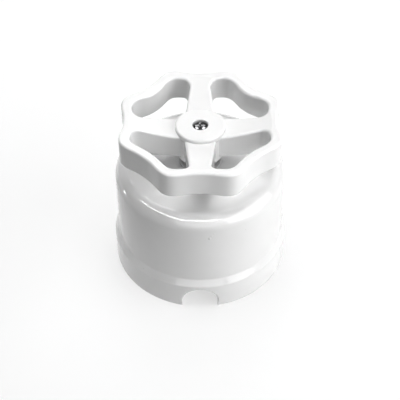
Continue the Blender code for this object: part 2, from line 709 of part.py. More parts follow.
def make_contact_carrier(parent):
    """Insulating drum with a square socket below and four detent grooves on top."""
    carrier = turned("contact_carrier", [
        (SPINDLE_BORE, CARRIER_HEIGHT, 0),
        (CARRIER_RADIUS, CARRIER_HEIGHT, GLAZED_EDGE),
        (CARRIER_RADIUS, 0, GLAZED_EDGE),
        (SPINDLE_BORE, 0, 0)], MEDIUM_STEPS, hollow=True)
    hole = square(DRIVE_SQUARE + 2 * FIT, BLADE_TURN)
    socket = plate("socket", [hole], -FIT, DRIVE_DEPTH + FIT)
    carrier = cut(carrier, socket)
    for turn in (0, math.pi / 2):
        height = CARRIER_HEIGHT + DETENT_GROOVE_RADIUS - DETENT_GROOVE_DEPTH
        groove = lying_rod(DETENT_GROOVE_RADIUS, 2 * CARRIER_RADIUS, height, SMALL_STEPS)
        groove.data.transform(Matrix.Rotation(turn, 4, "Z"))
        carrier = cut(carrier, groove)
    return finish(carrier, PHENOLIC, parent, CARRIER_Z)


def make_split_ring(name, bore, radius, thickness, split, values, parent, height):
    """A flat ring with a gap cut through one side."""
    ring = turned(name, [
        (bore, thickness, 0),
        (radius, thickness, 0),
        (radius, 0, 0),
        (bore, 0, 0)], MEDIUM_STEPS, hollow=True)
    gap = block("gap", (2 * radius, split, 3 * thickness), (radius, 0, thickness / 2))
    return finish(cut(ring, gap), values, parent, height)


def make_ring(name, bore, radius, thickness, values, height, steps=MEDIUM_STEPS):
    """A plain flat washer."""
    ring = turned(name, [
        (bore, thickness, 0),
        (radius, thickness, 0),
        (radius, 0, 0),
        (bore, 0, 0)], steps, hollow=True)
    return finish(ring, values, height=height)


def make_nut(name, flats, bore, thickness, values, height):
    """A hexagon nut about the axis."""
    nut = plate(name, [hexagon(flats)], 0, thickness)
    nut = cut(nut, rod(bore, -thickness, 2 * thickness, SMALL_STEPS))
    return finish(nut, values, height=height)


def make_threaded_bush():
    """Bush with a hexagon flange under the bridge; it guides the spindle up to the hub."""
    length = BUSH_TOP - BUSH_Z
    bush = turned("threaded_bush", [
        (0, length, 0),
        (BUSH_RADIUS, length, FIT),
        (BUSH_RADIUS, BUSH_FLANGE_THICKNESS / 2, 0),
        (0, BUSH_FLANGE_THICKNESS / 2, 0)], MEDIUM_STEPS)
    flange = plate("flange", [hexagon(BUSH_FLANGE_FLATS)], 0, BUSH_FLANGE_THICKNESS)
    bush = combine(bush, "UNION", flange)
    bush = cut(bush, rod(SPINDLE_BORE, -FIT, length + FIT, MEDIUM_STEPS))
    return finish(bush, NICKEL, height=BUSH_Z)


def make_ring_nut():
    """Round nut with four rim slots, which clamps the cover to the bush."""
    nut = turned("ring_nut", [
        (BUSH_BORE, RING_NUT_THICKNESS, 0),
        (RING_NUT_RADIUS, RING_NUT_THICKNESS, GLAZED_EDGE),
        (RING_NUT_RADIUS, 0, 0),
        (BUSH_BORE, 0, 0)], MEDIUM_STEPS, hollow=True)
    size = (2 * RING_NUT_SLOT_DEPTH, RING_NUT_SLOT_WIDTH, 3 * RING_NUT_THICKNESS)
    for index in range(RING_NUT_SLOTS):
        slot = block("slot", size, (RING_NUT_RADIUS, 0, 0))
        slot.data.transform(Matrix.Rotation(math.tau * (index + 0.5) / RING_NUT_SLOTS, 4, "Z"))
        nut = cut(nut, slot)
    return finish(nut, NICKEL, height=RING_NUT_Z)


def make_bridge():
    """Folded steel bridge over the carrier, footed on the base plate along Y."""
    foot_z = STRIP_Z + BRIDGE_SHEET / 2
    top_z = BRIDGE_Z + BRIDGE_SHEET / 2
    leg_x = BRIDGE_LEG + BRIDGE_SHEET / 2
    foot_end = leg_x + BRIDGE_FOOT_LENGTH
    path = rounded([
        (-foot_end, foot_z, 0),
        (-leg_x, foot_z, BEND_RADIUS),
        (-leg_x, top_z, BEND_RADIUS),
        (leg_x, top_z, BEND_RADIUS),
        (leg_x, foot_z, BEND_RADIUS),
        (foot_end, foot_z, 0)])
    stations = [(point.x, point.y, BRIDGE_WIDTH / 2) for point in path]
    bridge = bent_strip("bearing_bridge", stations, BRIDGE_SHEET)
    bridge = cut(bridge, rod(BUSH_BORE, BRIDGE_Z - FIT, BUSH_NUT_Z, MEDIUM_STEPS))
    for side in (-1, 1):
        hole = rod(BASE_SCREW_BORE, 0, TERMINAL_Z + BRIDGE_SHEET, x=side * BRIDGE_SCREW_Y)
        bridge = cut(bridge, hole)
    return finish(bridge, STEEL, turn=math.pi / 2)


def make_detent_spring():
    """Sprung strip under the bridge whose two ends hang over the carrier's grooves.

    The ends are drawn just above the lands between the grooves, as lifted by them.
    """
    middle_z = SPRING_Z + SPRING_SHEET / 2
    tip_z = CARRIER_TOP + FIT + SPRING_SHEET / 2
    wide = BUSH_BORE + 4 * SPRING_SHEET
    narrow = SPRING_ARM_WIDTH / 2
    arm_x = BUSH_FLANGE_FLATS / 2 + 4 * FIT
    tip_x = CARRIER_RADIUS - SPRING_ARM_WIDTH / 2
    lift = 2 * SPRING_SHEET
    half = [
        (BUSH_BORE, middle_z, wide),
        (arm_x, middle_z, narrow + SPRING_SHEET),
        (tip_x - lift / 2, tip_z, narrow),
        (tip_x + lift / 2, tip_z, narrow),
        (tip_x + 3 * lift / 2, tip_z + lift, narrow)]
    mirrored = [(-x, z, width) for x, z, width in half[::-1]]
    spring = bent_strip("detent_spring", mirrored + half, SPRING_SHEET)
    spring = cut(spring, rod(BUSH_BORE, BUSH_Z, BUSH_NUT_Z, MEDIUM_STEPS))
    return finish(spring, BRONZE)


def station_turns():
    """Angles of the contact stations, midway between the bridge's feet and the wall screws."""
    step = math.tau / STATION_COUNT
    return [step * (index + 0.5) for index in range(STATION_COUNT)]


def finger_mesh():
    """Folded contact finger: a foot on the base plate and a leg that meets the blade's end."""
    foot_z = STRIP_Z + FINGER_SHEET / 2
    leg_x = FINGER_FACE + FINGER_SHEET / 2
    leg_top = BLADE_Z + FINGER_RISE / 2
    path = rounded([
        (STATION_RADIUS + FINGER_FOOT_BEYOND, foot_z, 0),
        (leg_x, foot_z, BEND_RADIUS),
        (leg_x, leg_top, FINGER_CURL),
        (leg_x + FINGER_CURL, leg_top + FINGER_CURL, 0)])
    stations = [(point.x, point.y, FINGER_WIDTH / 2) for point in path]
    finger = bent_strip("contact_finger", stations, FINGER_SHEET)
    return cut(finger, rod(BASE_SCREW_BORE, 0, TERMINAL_Z, x=STATION_RADIUS))


def terminal_mesh():
    """Brass terminal block with a wire hole along X and tapped holes above and below."""
    centre = (STATION_RADIUS, 0, TERMINAL_Z + TERMINAL_HEIGHT / 2)
    terminal = block("terminal_block", (TERMINAL_LENGTH, TERMINAL_WIDTH, TERMINAL_HEIGHT), centre)
    edge = terminal.modifiers.new("edge", "BEVEL")
    edge.width = TERMINAL_EDGE
    edge.segments = 1
    terminal = settle(terminal)
    wire_z = TERMINAL_Z + WIRE_HOLE_HEIGHT
    wire = lying_rod(WIRE_HOLE_RADIUS, STATION_RADIUS + TERMINAL_LENGTH, wire_z)
    below = rod(BASE_SCREW_BORE, TERMINAL_Z - FIT, TERMINAL_Z + CONTACT_SCREW_BITE + FIT,
                x=STATION_RADIUS)
    above = rod(TERMINAL_SCREW_SHANK_RADIUS + FIT, wire_z, TERMINAL_Z + TERMINAL_HEIGHT + FIT,
                x=STATION_RADIUS)
    terminal = cut(terminal, wire)
    terminal = cut(terminal, below)
    return cut(terminal, above)


def make_stations():
    """Four contact sets, each on an empty turned to its station."""
    bite = TERMINAL_Z + CONTACT_SCREW_BITE - (BASE_SCREW_SEAT - FIT)
    finger = finish(finger_mesh(), BRONZE)
    terminal = finish(terminal_mesh(), BRASS)
    top_screw = finish(screw("terminal_screw", TERMINAL_SCREW_HEAD_RADIUS,
                             TERMINAL_SCREW_HEAD_HEIGHT, TERMINAL_SCREW_SHANK_RADIUS,
                             TERMINAL_SCREW_SHANK_LENGTH), STEEL)
    low_screw = finish(base_screw("contact_screw", bite), STEEL)
    top_z = TERMINAL_Z + TERMINAL_HEIGHT + FIT
    for number, turn in enumerate(station_turns(), start=1):
        station = axis_empty("station_%d" % number, turn)
        copy_to("contact_finger_%d" % number, finger, station, (0, 0, 0))
        copy_to("terminal_block_%d" % number, terminal, station, (0, 0, 0))
        copy_to("terminal_screw_%d" % number, top_screw, station, (STATION_RADIUS, 0, top_z))
        copy_to("contact_screw_%d" % number, low_screw, station, (STATION_RADIUS, 0, 0))
    for pattern in (finger, terminal, top_screw, low_screw):
        bpy.data.objects.remove(pattern)


def copy_to(name, pattern, parent, place):
    """Another object that shares a pattern's mesh, set at a place under its parent."""
    item = link(name, pattern.data)
    item.parent = parent
    item.location = place
    return item


def base_screw(name, shank_length):
    """A screw put in from below, its head sunk in the base plate."""
    item = screw(name, BASE_SCREW_HEAD_RADIUS, BASE_SCREW_HEAD_HEIGHT,
                 BASE_SCREW_SHANK_RADIUS, shank_length)
    head_top = BASE_SCREW_SEAT - FIT
    item.data.transform(Matrix.Translation((0, 0, head_top)) @ Matrix.Rotation(math.pi, 4, "X"))
    return item


def make_bridge_fixings():
    """The two screws and nuts that hold the bridge's feet."""
    nut_z = STRIP_Z + BRIDGE_SHEET + FIT
    shank = nut_z + BRIDGE_NUT_THICKNESS + FIT - (BASE_SCREW_SEAT - FIT)
    for label, side in (("front", -1), ("back", 1)):
        low_screw = finish(base_screw("bridge_screw_" + label, shank), STEEL)
        low_screw.location = (0, side * BRIDGE_SCREW_Y, 0)
        nut = make_nut("bridge_nut_" + label, BRIDGE_NUT_FLATS, BASE_SCREW_BORE,
                       BRIDGE_NUT_THICKNESS, STEEL, nut_z)
        nut.location = (0, side * BRIDGE_SCREW_Y, nut_z)
        nut.rotation_euler = (0, 0, math.pi / 2)


def gather(name):
    """Move every object into one collection named for the switch."""
    collection = bpy.data.collections.new(name)
    bpy.context.scene.collection.children.link(collection)
    for item in list(bpy.context.scene.collection.objects):
        collection.objects.link(item)
        bpy.context.scene.collection.objects.unlink(item)


def main():
    clear_scene()
    make_cover()
    make_base_plate()
    make_bridge()
    make_bridge_fixings()
    make_detent_spring()
    make_threaded_bush()
    make_nut("bush_nut", BUSH_NUT_FLATS, BUSH_BORE, BUSH_NUT_THICKNESS, NICKEL, BUSH_NUT_Z)
    make_ring("cover_washer", BUSH_BORE, COVER_WASHER_RADIUS, COVER_WASHER_THICKNESS,
              NYLON, COVER_WASHER_Z)
    make_ring_nut()
    make_ring("thrust_washer", SPINDLE_BORE, THRUST_WASHER_RADIUS, THRUST_WASHER_THICKNESS,
              BRASS, THRUST_WASHER_Z)
    make_stations()

    knob = axis_empty("knob_axis")
    make_handwheel(knob)
    make_spindle(knob)
    make_contact_carrier(knob)
    make_contact_blade(knob)
    make_split_ring("retaining_ring", SPINDLE_RADIUS - RETAINER_GROOVE_DEPTH + FIT, RETAINER_RADIUS,
                    RETAINER_THICKNESS, SPINDLE_RADIUS, STEEL, knob, RETAINER_Z)
    make_split_ring("knob_lock_washer", KNOB_SCREW_BORE, LOCK_WASHER_RADIUS,
                    LOCK_WASHER_THICKNESS, LOCK_WASHER_SPLIT, CHROME, knob, LOCK_WASHER_Z)
    knob_screw = screw("knob_screw", KNOB_SCREW_HEAD_RADIUS, KNOB_SCREW_HEAD_HEIGHT,
                       KNOB_SCREW_SHANK_RADIUS, KNOB_SCREW_SHANK_LENGTH, cross=True)
    finish(knob_screw, CHROME, knob, KNOB_SCREW_Z)
    gather("porcelain_rotary_switch")
    bpy.context.view_layer.update()


if __name__ == "__main__":
    main()
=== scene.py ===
"""The finished look of a porcelain rotary switch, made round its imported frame.

The glazed cover, the handwheel, its hub, the knob screw, the ring nut and its washer are
surfaces worked out with numpy; every other piece is the frame's own, with a procedural
finish. Lengths are in metres: +Z leaves the wall, and the cable notch is at -Y.
"""
import json
import math

import bmesh
import bpy
import numpy as np
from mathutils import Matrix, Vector


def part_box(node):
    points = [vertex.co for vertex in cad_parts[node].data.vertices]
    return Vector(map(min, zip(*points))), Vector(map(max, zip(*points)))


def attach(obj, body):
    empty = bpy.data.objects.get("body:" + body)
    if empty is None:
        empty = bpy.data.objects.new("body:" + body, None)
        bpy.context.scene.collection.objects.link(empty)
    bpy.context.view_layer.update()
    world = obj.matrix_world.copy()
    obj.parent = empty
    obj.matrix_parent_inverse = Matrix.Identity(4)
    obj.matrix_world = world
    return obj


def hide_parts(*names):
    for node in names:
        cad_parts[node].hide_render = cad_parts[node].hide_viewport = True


bl_info = {
    "name": "Porcelain Rotary Switch",
    "version": (1, 0, 0),
    "blender": (4, 5, 0),
    "location": "View3D > Sidebar > Switch",
    "description": "Builds the glazed cover, handwheel and studio round the switch's frame",
    "category": "Object",
}

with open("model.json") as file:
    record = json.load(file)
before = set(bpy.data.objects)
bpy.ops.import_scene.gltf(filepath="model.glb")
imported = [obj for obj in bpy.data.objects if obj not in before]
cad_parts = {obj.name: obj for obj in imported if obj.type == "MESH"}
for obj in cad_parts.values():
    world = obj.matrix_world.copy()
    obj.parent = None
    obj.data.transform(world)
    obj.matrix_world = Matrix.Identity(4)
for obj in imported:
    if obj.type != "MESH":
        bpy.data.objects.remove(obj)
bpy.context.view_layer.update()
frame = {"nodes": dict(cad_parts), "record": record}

MM = 0.001
COVER_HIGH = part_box("cover")[1]
WHEEL_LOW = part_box("handwheel")[0]
SCREW_LOW, SCREW_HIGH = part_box("knob_screw")
NUT_LOW, NUT_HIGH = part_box("ring_nut")
WASHER_LOW, WASHER_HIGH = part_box("cover_washer")

# The crown of the screw's head stands this much over the CAD head's, in millimetres.
HEAD_RISE = 0.6

# The wheel repeats every quarter turn and is mirrored about every eighth.
QUARTER = math.pi / 2
EIGHTH = math.pi / 4

# Points closer than this are one; edges shorter than the second length are dropped.
MERGE = 0.0015 * MM
TINY = 0.0005 * MM


# Properties

def length(name, description, millimetres):
    """A length property whose default is given in millimetres."""
    return bpy.props.FloatProperty(
        name=name, description=description, default=millimetres * MM, min=0.0,
        precision=5, subtype="DISTANCE", unit="LENGTH")


def share(name, description, value, highest=1.0):
    """A plain number from 0 to a highest value."""
    return bpy.props.FloatProperty(
        name=name, description=description, default=value, min=0.0, max=highest, precision=3)


def tint(name, description, value):
    """A colour."""
    return bpy.props.FloatVectorProperty(
        name=name, description=description, default=value, size=3, min=0.0, max=1.0,
        subtype="COLOR")


class CoverShape(bpy.types.PropertyGroup):
    """Sizes of the porcelain cover."""
    wall_radius: length("Wall radius", "Outer radius of the upright wall", 33.4)
    foot_radius: length("Foot radius", "Outer radius of the foot ring", COVER_HIGH[0] / MM)
    bore_radius: length("Bore radius", "Radius of the hollow inside", 29.8)
    top_height: length("Top height", "Height of the flat round the bush", COVER_HIGH[2] / MM)
    flat_radius: length("Flat radius", "Radius of the flat round the bush", 8.6)
    crown: length("Crown", "How much the top falls away towards the shoulder", 0.31)
    shoulder: length("Shoulder", "Radius of the shoulder", 5.5)
    foot_height: length("Foot height", "Height of the foot ring's upright side", 11.5)
    foot_rounding: length("Foot rounding", "Radius between foot ring and cone", 1.1)
    cone_height: length("Cone height", "Height of the cone over the foot ring", 3.0)
    cone_rounding: length("Cone rounding", "Radius between cone and wall", 1.6)
    ceiling: length("Ceiling", "Thickness of the top", 4.2)
    bush_hole: length("Bush hole", "Radius of the hole for the threaded bush", 5.3)
    notch_width: length("Notch width", "Width of the cable notch", 13.8)
    notch_height: length("Notch height", "Height of the cable notch", 9.7)
    notch_edge: length("Notch edge", "How round the glaze leaves the notch's edge", 0.75)
    foot_edge: length("Foot edge", "How round the edge on the wall is", 0.35)
    inner_edge: length("Inner edge", "How round the hollow's edge on the wall is", 0.3)


class WheelShape(bpy.types.PropertyGroup):
    """Sizes of the handwheel's rim, spokes and windows."""
    radius: length("Radius", "Middle of the wavy outline", 30.6)
    swell: length("Lobe swell", "How far lobes and hollows leave the middle radius", 1.6)
    rounding: length("Lobe rounding", "Second wave that shapes the lobes", 0.2)
    rim_width: length("Rim width", "Width of the rim", 4.4)
    bottom: length("Underside", "Height of the rim's underside", 56.7)
    top: length("Top", "Height of the rim's top", 67.2)
    lift: length("Lobe lift", "How much the lobes rise towards the outline", 0.4)
    dish_depth: length("Dish depth", "How much the face sinks to the hub", 3.6)
    dish_radius: length("Dish radius", "Where the dish begins", 27.0)
    dish_power: share("Dish power", "How late the dish rises to the rim", 2.5, 6.0)
    spoke_width: length("Spoke width", "Width of a spoke at the rim", 7.4)
    spoke_taper: share("Spoke taper", "Gain in half width for each unit of length", 0.115)
    end_radius: length("Window end", "Radius of a window's ends", 3.3)
    hub_corner: length("Window corner", "Radius of a window's corner at the hub", 2.0)
    spoke_drop: length("Spoke drop", "How much deeper the spokes reach than the rim", 2.7)
    top_edge: length("Top edge", "How round the upper edges are", 1.0)
    bottom_edge: length("Bottom edge", "How round the lower edges are", 0.9)


class HubShape(bpy.types.PropertyGroup):
    """Sizes of the handwheel's hub."""
    disc_radius: length("Disc radius", "Radius of the raised disc", 9.6)
    disc_top: length("Disc top", "Height of the disc", 65.4)
    disc_thickness: length("Disc thickness", "Thickness of the disc's edge", 2.2)
    disc_edge: length("Disc edge", "How round the disc's upper edge is", 0.75)
    barrel_radius: length("Barrel radius", "Radius of the barrel under the disc", 9.25)
    barrel_edge: length("Barrel edge", "How round the barrel's lower edge is", 0.6)
    barrel_bottom: length("Barrel bottom", "Height of the barrel's end", WHEEL_LOW[2] / MM)
    well_radius: length("Well radius", "Radius of the screw's well", 2.95)
    well_depth: length("Well depth", "Depth of the screw's well", 4.4)
    screw_hole: length("Screw hole", "Radius of the hole for the screw", 1.8)
    socket_radius: length("Socket radius", "Radius of the spindle's socket", 3.3)
    web: length("Web", "Thickness left between well and socket", 2.0)
    fillet: length("Fillet", "Glaze that rises from the spokes to the disc", 0.4)


class MetalShape(bpy.types.PropertyGroup):
    """Sizes of the knob screw and the ring nut."""
    head_radius: length("Head radius", "Radius of the knob screw's head", SCREW_HIGH[0] / MM)
    head_top: length("Head top", "Height of the head's crown", SCREW_HIGH[2] / MM + HEAD_RISE)
    head_height: length("Head height", "Thickness of the head", 2.0)
    head_dome: length("Head dome", "How much the head falls away to its edge", 0.45)
    shank_radius: length("Shank radius", "Radius of the screw's shank", 1.5)
    shank_bottom: length("Shank bottom", "Height of the shank's lower end", SCREW_LOW[2] / MM)
    cross_width: length("Cross width", "Width of the cross slots at the head's face", 1.15)
    cross_floor: length("Cross floor", "Width of the cross slots' floor", 0.15)
    cross_reach: length("Cross reach", "Half length of the cross slots", 2.1)
    cross_depth: length("Cross depth", "Depth of the cross slots", 0.7)
    nut_radius: length("Nut radius", "Radius of the ring nut", NUT_HIGH[0] / MM)
    nut_bore: length("Nut bore", "Radius of the ring nut's bore", 5.3)
    nut_slot: length("Nut slots", "Width of the ring nut's wrench slots", 1.8)
    nut_slot_depth: length("Nut slot depth", "Depth of the wrench slots", 0.9)


class SwitchFinish(bpy.types.PropertyGroup):
    """Colours and gloss of the surfaces."""
    glaze: tint("Glaze", "Colour of the white glaze", (0.73, 0.73, 0.73))
    glaze_thin: tint("Thin glaze", "Colour where the glaze is thinner", (0.71, 0.71, 0.71))
    glaze_gloss: share("Glaze roughness", "Roughness of the glaze", 0.03)
    bisque: tint("Bisque", "Colour of the unglazed porcelain", (0.76, 0.74, 0.69))
    chrome: tint("Chrome", "Colour of the chromed screw", (0.24, 0.24, 0.245))
    nickel: tint("Nickel", "Colour of the nickelled pieces", (0.72, 0.72, 0.715))
    steel: tint("Steel", "Colour of the steel pieces", (0.47, 0.48, 0.49))
    brass: tint("Brass", "Colour of the brass pieces", (0.78, 0.57, 0.25))
    bronze: tint("Bronze", "Colour of the contact sheet", (0.70, 0.43, 0.21))
    phenolic: tint("Phenolic", "Colour of the moulded carrier", (0.045, 0.026, 0.018))
    nylon: tint("Nylon", "Colour of the cover washer", (0.55, 0.55, 0.55))


class StudioSettings(bpy.types.PropertyGroup):
    """Camera, floor and backdrop."""
    lens: bpy.props.FloatProperty(
        name="Lens", description="Focal length in millimetres", default=92.25,
        min=20.0, max=300.0)
    elevation: bpy.props.FloatProperty(
        name="Elevation", description="Camera's height as an angle",
        default=math.radians(44.75), subtype="ANGLE", unit="ROTATION")
    distance: length("Distance", "From the aim point to the camera", 415.67)
    aim_height: length("Aim height", "Height of the point the camera looks at", 25.68)
    backdrop: share("Backdrop", "Brightness of the backdrop behind the floor", 0.85, 5.0)
    contrast: share("Contrast", "Gamma of the picture; lower is darker and harder", 0.78, 2.0)
    floor: tint("Floor", "Colour of the floor", (0.25, 0.25, 0.25))
    floor_glow: share("Floor glow", "Light that comes through the floor's panel", 0.65, 5.0)


# Surfaces

def stacked(*parts):
    """Coordinates, broadcast together, as one array of points."""
    return np.stack(np.broadcast_arrays(*parts), axis=-1)


def grid_faces(rows, columns, wrap_rows=False, wrap_columns=False):
    """Corner numbers of the quads between neighbouring points of a grid, rows first."""
    row = np.arange(rows if wrap_rows else rows - 1)[:, None]
    column = np.arange(columns if wrap_columns else columns - 1)[None, :]
    next_row = (row + 1) % rows
    next_column = (column + 1) % columns
    return stacked(row * columns + column, row * columns + next_column,
                   next_row * columns + next_column, next_row * columns + column).reshape(-1, 4)


def surface_object(name, patches, sharp_angle=None):
    """Join grids of points into one closed mesh.

    A patch is (points, wrap_rows, wrap_columns) with points of shape (rows, columns, 3).
    Points that coincide along the patches' borders are merged.
    """
    points = []
    faces = []
    start = 0
    for grid, wrap_rows, wrap_columns in patches:
        rows, columns = grid.shape[:2]
        points.append(grid.reshape(-1, 3))
        faces.append(grid_faces(rows, columns, wrap_rows, wrap_columns) + start)
        start += rows * columns
    mesh = bpy.data.meshes.new(name)
    mesh.from_pydata(np.concatenate(points), [], np.concatenate(faces))
    work = bmesh.new()
    work.from_mesh(mesh)
    bmesh.ops.remove_doubles(work, verts=work.verts, dist=MERGE)
    bmesh.ops.dissolve_degenerate(work, edges=work.edges, dist=TINY)
    bmesh.ops.recalc_face_normals(work, faces=work.faces)
    if work.calc_volume(signed=True) < 0:
        bmesh.ops.reverse_faces(work, faces=work.faces)
    work.to_mesh(mesh)
    work.free()
    mesh.shade_smooth()
    if sharp_angle is not None:
        mesh.set_sharp_from_angle(angle=sharp_angle)
    item = bpy.data.objects.new(name, mesh)
    bpy.context.scene.collection.objects.link(item)
    return item


def unit(vectors):
    """Vectors of length one."""
    return vectors / np.linalg.norm(vectors, axis=-1, keepdims=True)


def eased_profile(corners, facet=0.12 * MM, line_step=1.2 * MM):
    """A polyline through (radius, height, fillet) corners, each eased by an arc.

    An arc runs from tangent point to tangent point about the corner's centre,
    at even angles; a straight part is divided evenly, closer to the arcs.
    """
    places = np.array([corner[:2] for corner in corners], float)
    pieces = [places[:1]]
    for index in range(1, len(corners) - 1):
        fillet = corners[index][2]
        if fillet <= 0:
            pieces.append(places[index:index + 1])
            continue
        back = unit(places[index - 1] - places[index])
        ahead = unit(places[index + 1] - places[index])
        half = math.acos(float(np.clip(back @ ahead, -1, 1))) / 2
        centre = places[index] + unit(back + ahead) * fillet / math.sin(half)
        first = places[index] + back * fillet / math.tan(half) - centre
        last = places[index] + ahead * fillet / math.tan(half) - centre
        sweep = math.pi - 2 * half
        steps = max(4, math.ceil(fillet * sweep / facet))
        weight = np.linspace(0, 1, steps + 1)[:, None]
        arc = np.sin((1 - weight) * sweep) * first + np.sin(weight * sweep) * last
        pieces.append(centre + arc / math.sin(sweep))
    pieces.append(places[-1:])
    line = [pieces[0]]
    for before, after in zip(pieces, pieces[1:]):
        gap = after[0] - before[-1]
        count = max(2, math.ceil(float(np.linalg.norm(gap)) / line_step))
        even = np.linspace(0, 1, count + 1)[1:-1]
        eased = 0.5 - 0.5 * np.cos(math.pi * even)
        line += [before[-1] + gap * eased[:, None], after]
    profile = np.concatenate(line)
    keep = np.ones(len(profile), bool)
    keep[1:] = np.linalg.norm(np.diff(profile, axis=0), axis=1) > 0.002 * MM
    return profile[keep]


def turned(radius, height, angles):
    """Points at radii and heights, turned about the Z axis by the given angles."""
    return stacked(radius * np.cos(angles), radius * np.sin(angles), height)


def turned_grid(profile, angles):
    """A profile of (radius, height) turned about the Z axis through the given angles."""
    return turned(profile[:, :1], profile[:, 1:], angles)


def around(count):
    """Even angles once round the axis."""
    return np.arange(count) * math.tau / count


def smooth_step(value, low, high):
    """Rises smoothly from 0 at low to 1 at high."""
    part = np.clip((value - low) / (high - low), 0, 1)
    return part * part * (3 - 2 * part)


# Cover

ARCH_POINTS = 31            # points on half of the notch's arch
SIDE_POINTS = 15            # steps down the notch's side and round its lower corner
PLAIN_POINTS = 110          # points on the plain half of the foot, closer near the notch
OVER_ARCH = 8.2 * MM        # run that the arch's columns reach over the notch
OVER_NOTCH = 10.6 * MM      # run that all of the notch's columns reach there
DRIFT_FADE = 9 * MM         # way over which the columns beyond come back to upright
EDGE_GROWTH = (0.8 * MM, 3.4 * MM)      # heights over which the notch's edge grows round
STRAIGHT_FADE = (8.5 * MM, 16 * MM)     # runs over which depth turns from straight to radial
LEVEL_DROP = 0.55 * MM      # the level line lies this much under the foot ring's top
LOWER_ROWS = 8              # rows between the lower edge and the level line


def notch_path(shape):
    """Right half of the edge on the wall, from the notch's crown round to the back.

    The notch is a half circle over upright sides, then a small round corner and the
    plain circle of the foot. Returns for each point the way run along the foot's
    circle, the height, the direction into the porcelain, the edge's radius, and the
    run at which its column crosses the level line over the notch.
    """
    half = shape.notch_width / 2
    spring = shape.notch_height - half
    corner = shape.foot_edge + 0.05 * MM
    foot = shape.foot_radius

    turn = np.linspace(QUARTER, 0, ARCH_POINTS)
    arch_way = stacked(np.cos(turn), np.sin(turn))
    arch = (0.0, spring) + half * arch_way
    side = stacked(half, np.linspace(spring, corner, 9)[1:])
    side_way = np.tile((1.0, 0.0), (len(side), 1))
    turn = np.linspace(math.pi, 1.5 * math.pi, 7)[1:]
    bend_way = -stacked(np.cos(turn), np.sin(turn))
    bend = np.array((half + corner, corner)) - corner * bend_way
    place = np.concatenate((arch, side, bend))
    run = foot * np.arcsin(place[:, 0] / foot)

    half_turn = math.pi * foot
    notch_end = run[-1]
    steps = 0.35 + 0.75 * smooth_step(np.arange(float(PLAIN_POINTS)), 0, 24)
    plain = notch_end + (half_turn - notch_end) * np.cumsum(steps) / np.sum(steps)
    run = np.concatenate((run, plain))
    height = np.concatenate((place[:, 1], np.zeros_like(plain)))
    way = np.concatenate((arch_way, side_way, bend_way, np.tile((0.0, 1.0), (len(plain), 1))))
    growth = smooth_step(height, *EDGE_GROWTH)
    edge = shape.foot_edge + (shape.notch_edge - shape.foot_edge) * growth

    drift = (OVER_NOTCH - notch_end) * np.exp(-(plain - notch_end) / DRIFT_FADE)
    above = np.concatenate((
        OVER_ARCH * np.linspace(0, 1, ARCH_POINTS),
        np.linspace(OVER_ARCH, OVER_NOTCH, SIDE_POINTS)[1:],
        plain + drift * (half_turn - plain) / (half_turn - notch_end)))
    return run, height, way, edge, above


def cover_grid(shape):
    """The whole cover as one grid, closed both ways: columns go round it, rows go up
    the outside, over the top, down the hollow and back through the lower edge.

    A point of the lower part is found from its run along the foot's circle, its height
    and its depth, which goes straight in at the notch and radially elsewhere. Between
    the wavy lower edge and a level line over the notch, rows are weighted means.
    """
    def both_halves(values, side=1.0):
        """Values of the right half, then those of the left, times a sign for the side."""
        return np.concatenate((values, side * values[-2:0:-1]))

    run, height, way, edge, above = notch_path(shape)
    run, above = both_halves(run, -1.0), both_halves(above, -1.0)
    height, edge = both_halves(height), both_halves(edge)
    way = both_halves(way, np.array((-1.0, 1.0)))
    foot, bore = shape.foot_radius, shape.bore_radius
    level = shape.foot_height - LEVEL_DROP
    wall = foot - bore
    straight = 1 - smooth_step(np.abs(run), *STRAIGHT_FADE)

    def place(along_foot, high, depth, straight):
        """Points for a run along the foot, a height and a share of the wall's depth."""
        angle = along_foot / foot
        reach = np.clip(foot * np.sin(angle) / bore, -1, 1)
        inward = np.where(np.abs(angle) < 1, np.arcsin(reach), angle)
        inward = straight * inward + (1 - straight) * angle
        x = foot * np.sin(angle) * (1 - depth) + bore * np.sin(inward) * depth
        y = foot * np.cos(angle) * (1 - depth) + bore * np.cos(inward) * depth
        return stacked(x, -y, high)

    def edge_row(size, turn, side):
        """A row of an edge's quarter circle; side is 0 on the outside and 1 inside."""
        shift = size * (1 - np.sin(turn))
        depth = np.abs(side - size * (1 - np.cos(turn)) / wall)
        return place(run + way[:, 0] * shift, height + way[:, 1] * shift, depth, straight)

    def lower_row(size, weight, side):
        """A row part of the way from an edge's end up to the level line."""
        low_run = run + way[:, 0] * size
        low_height = height + way[:, 1] * size
        return place(low_run + (above - low_run) * weight,
                     low_height + (level - low_height) * weight, side, straight * (1 - weight))

    inner = shape.inner_edge
    weights = np.linspace(0, 1, LOWER_ROWS + 1)
    outside = [edge_row(edge, turn, 0.0) for turn in np.radians(np.linspace(90, 0, 8)[:-1])]
    outside += [lower_row(edge, weight, 0.0) for weight in weights[:-1]]
    body = turned_grid(upper_profile(shape, level), above / foot - QUARTER)
    inside = [lower_row(inner, 1 - weight, 1.0) for weight in weights[1:]]
    inside += [edge_row(inner, turn, 1.0) for turn in np.radians((30, 60, 90))]
    start, stop = edge / wall, 1 - inner / wall
    inside += [place(run, height, start + (stop - start) * weight, straight)
               for weight in (0.8, 0.6, 0.4, 0.2)]
    return np.concatenate((np.stack(outside), body, np.stack(inside)))


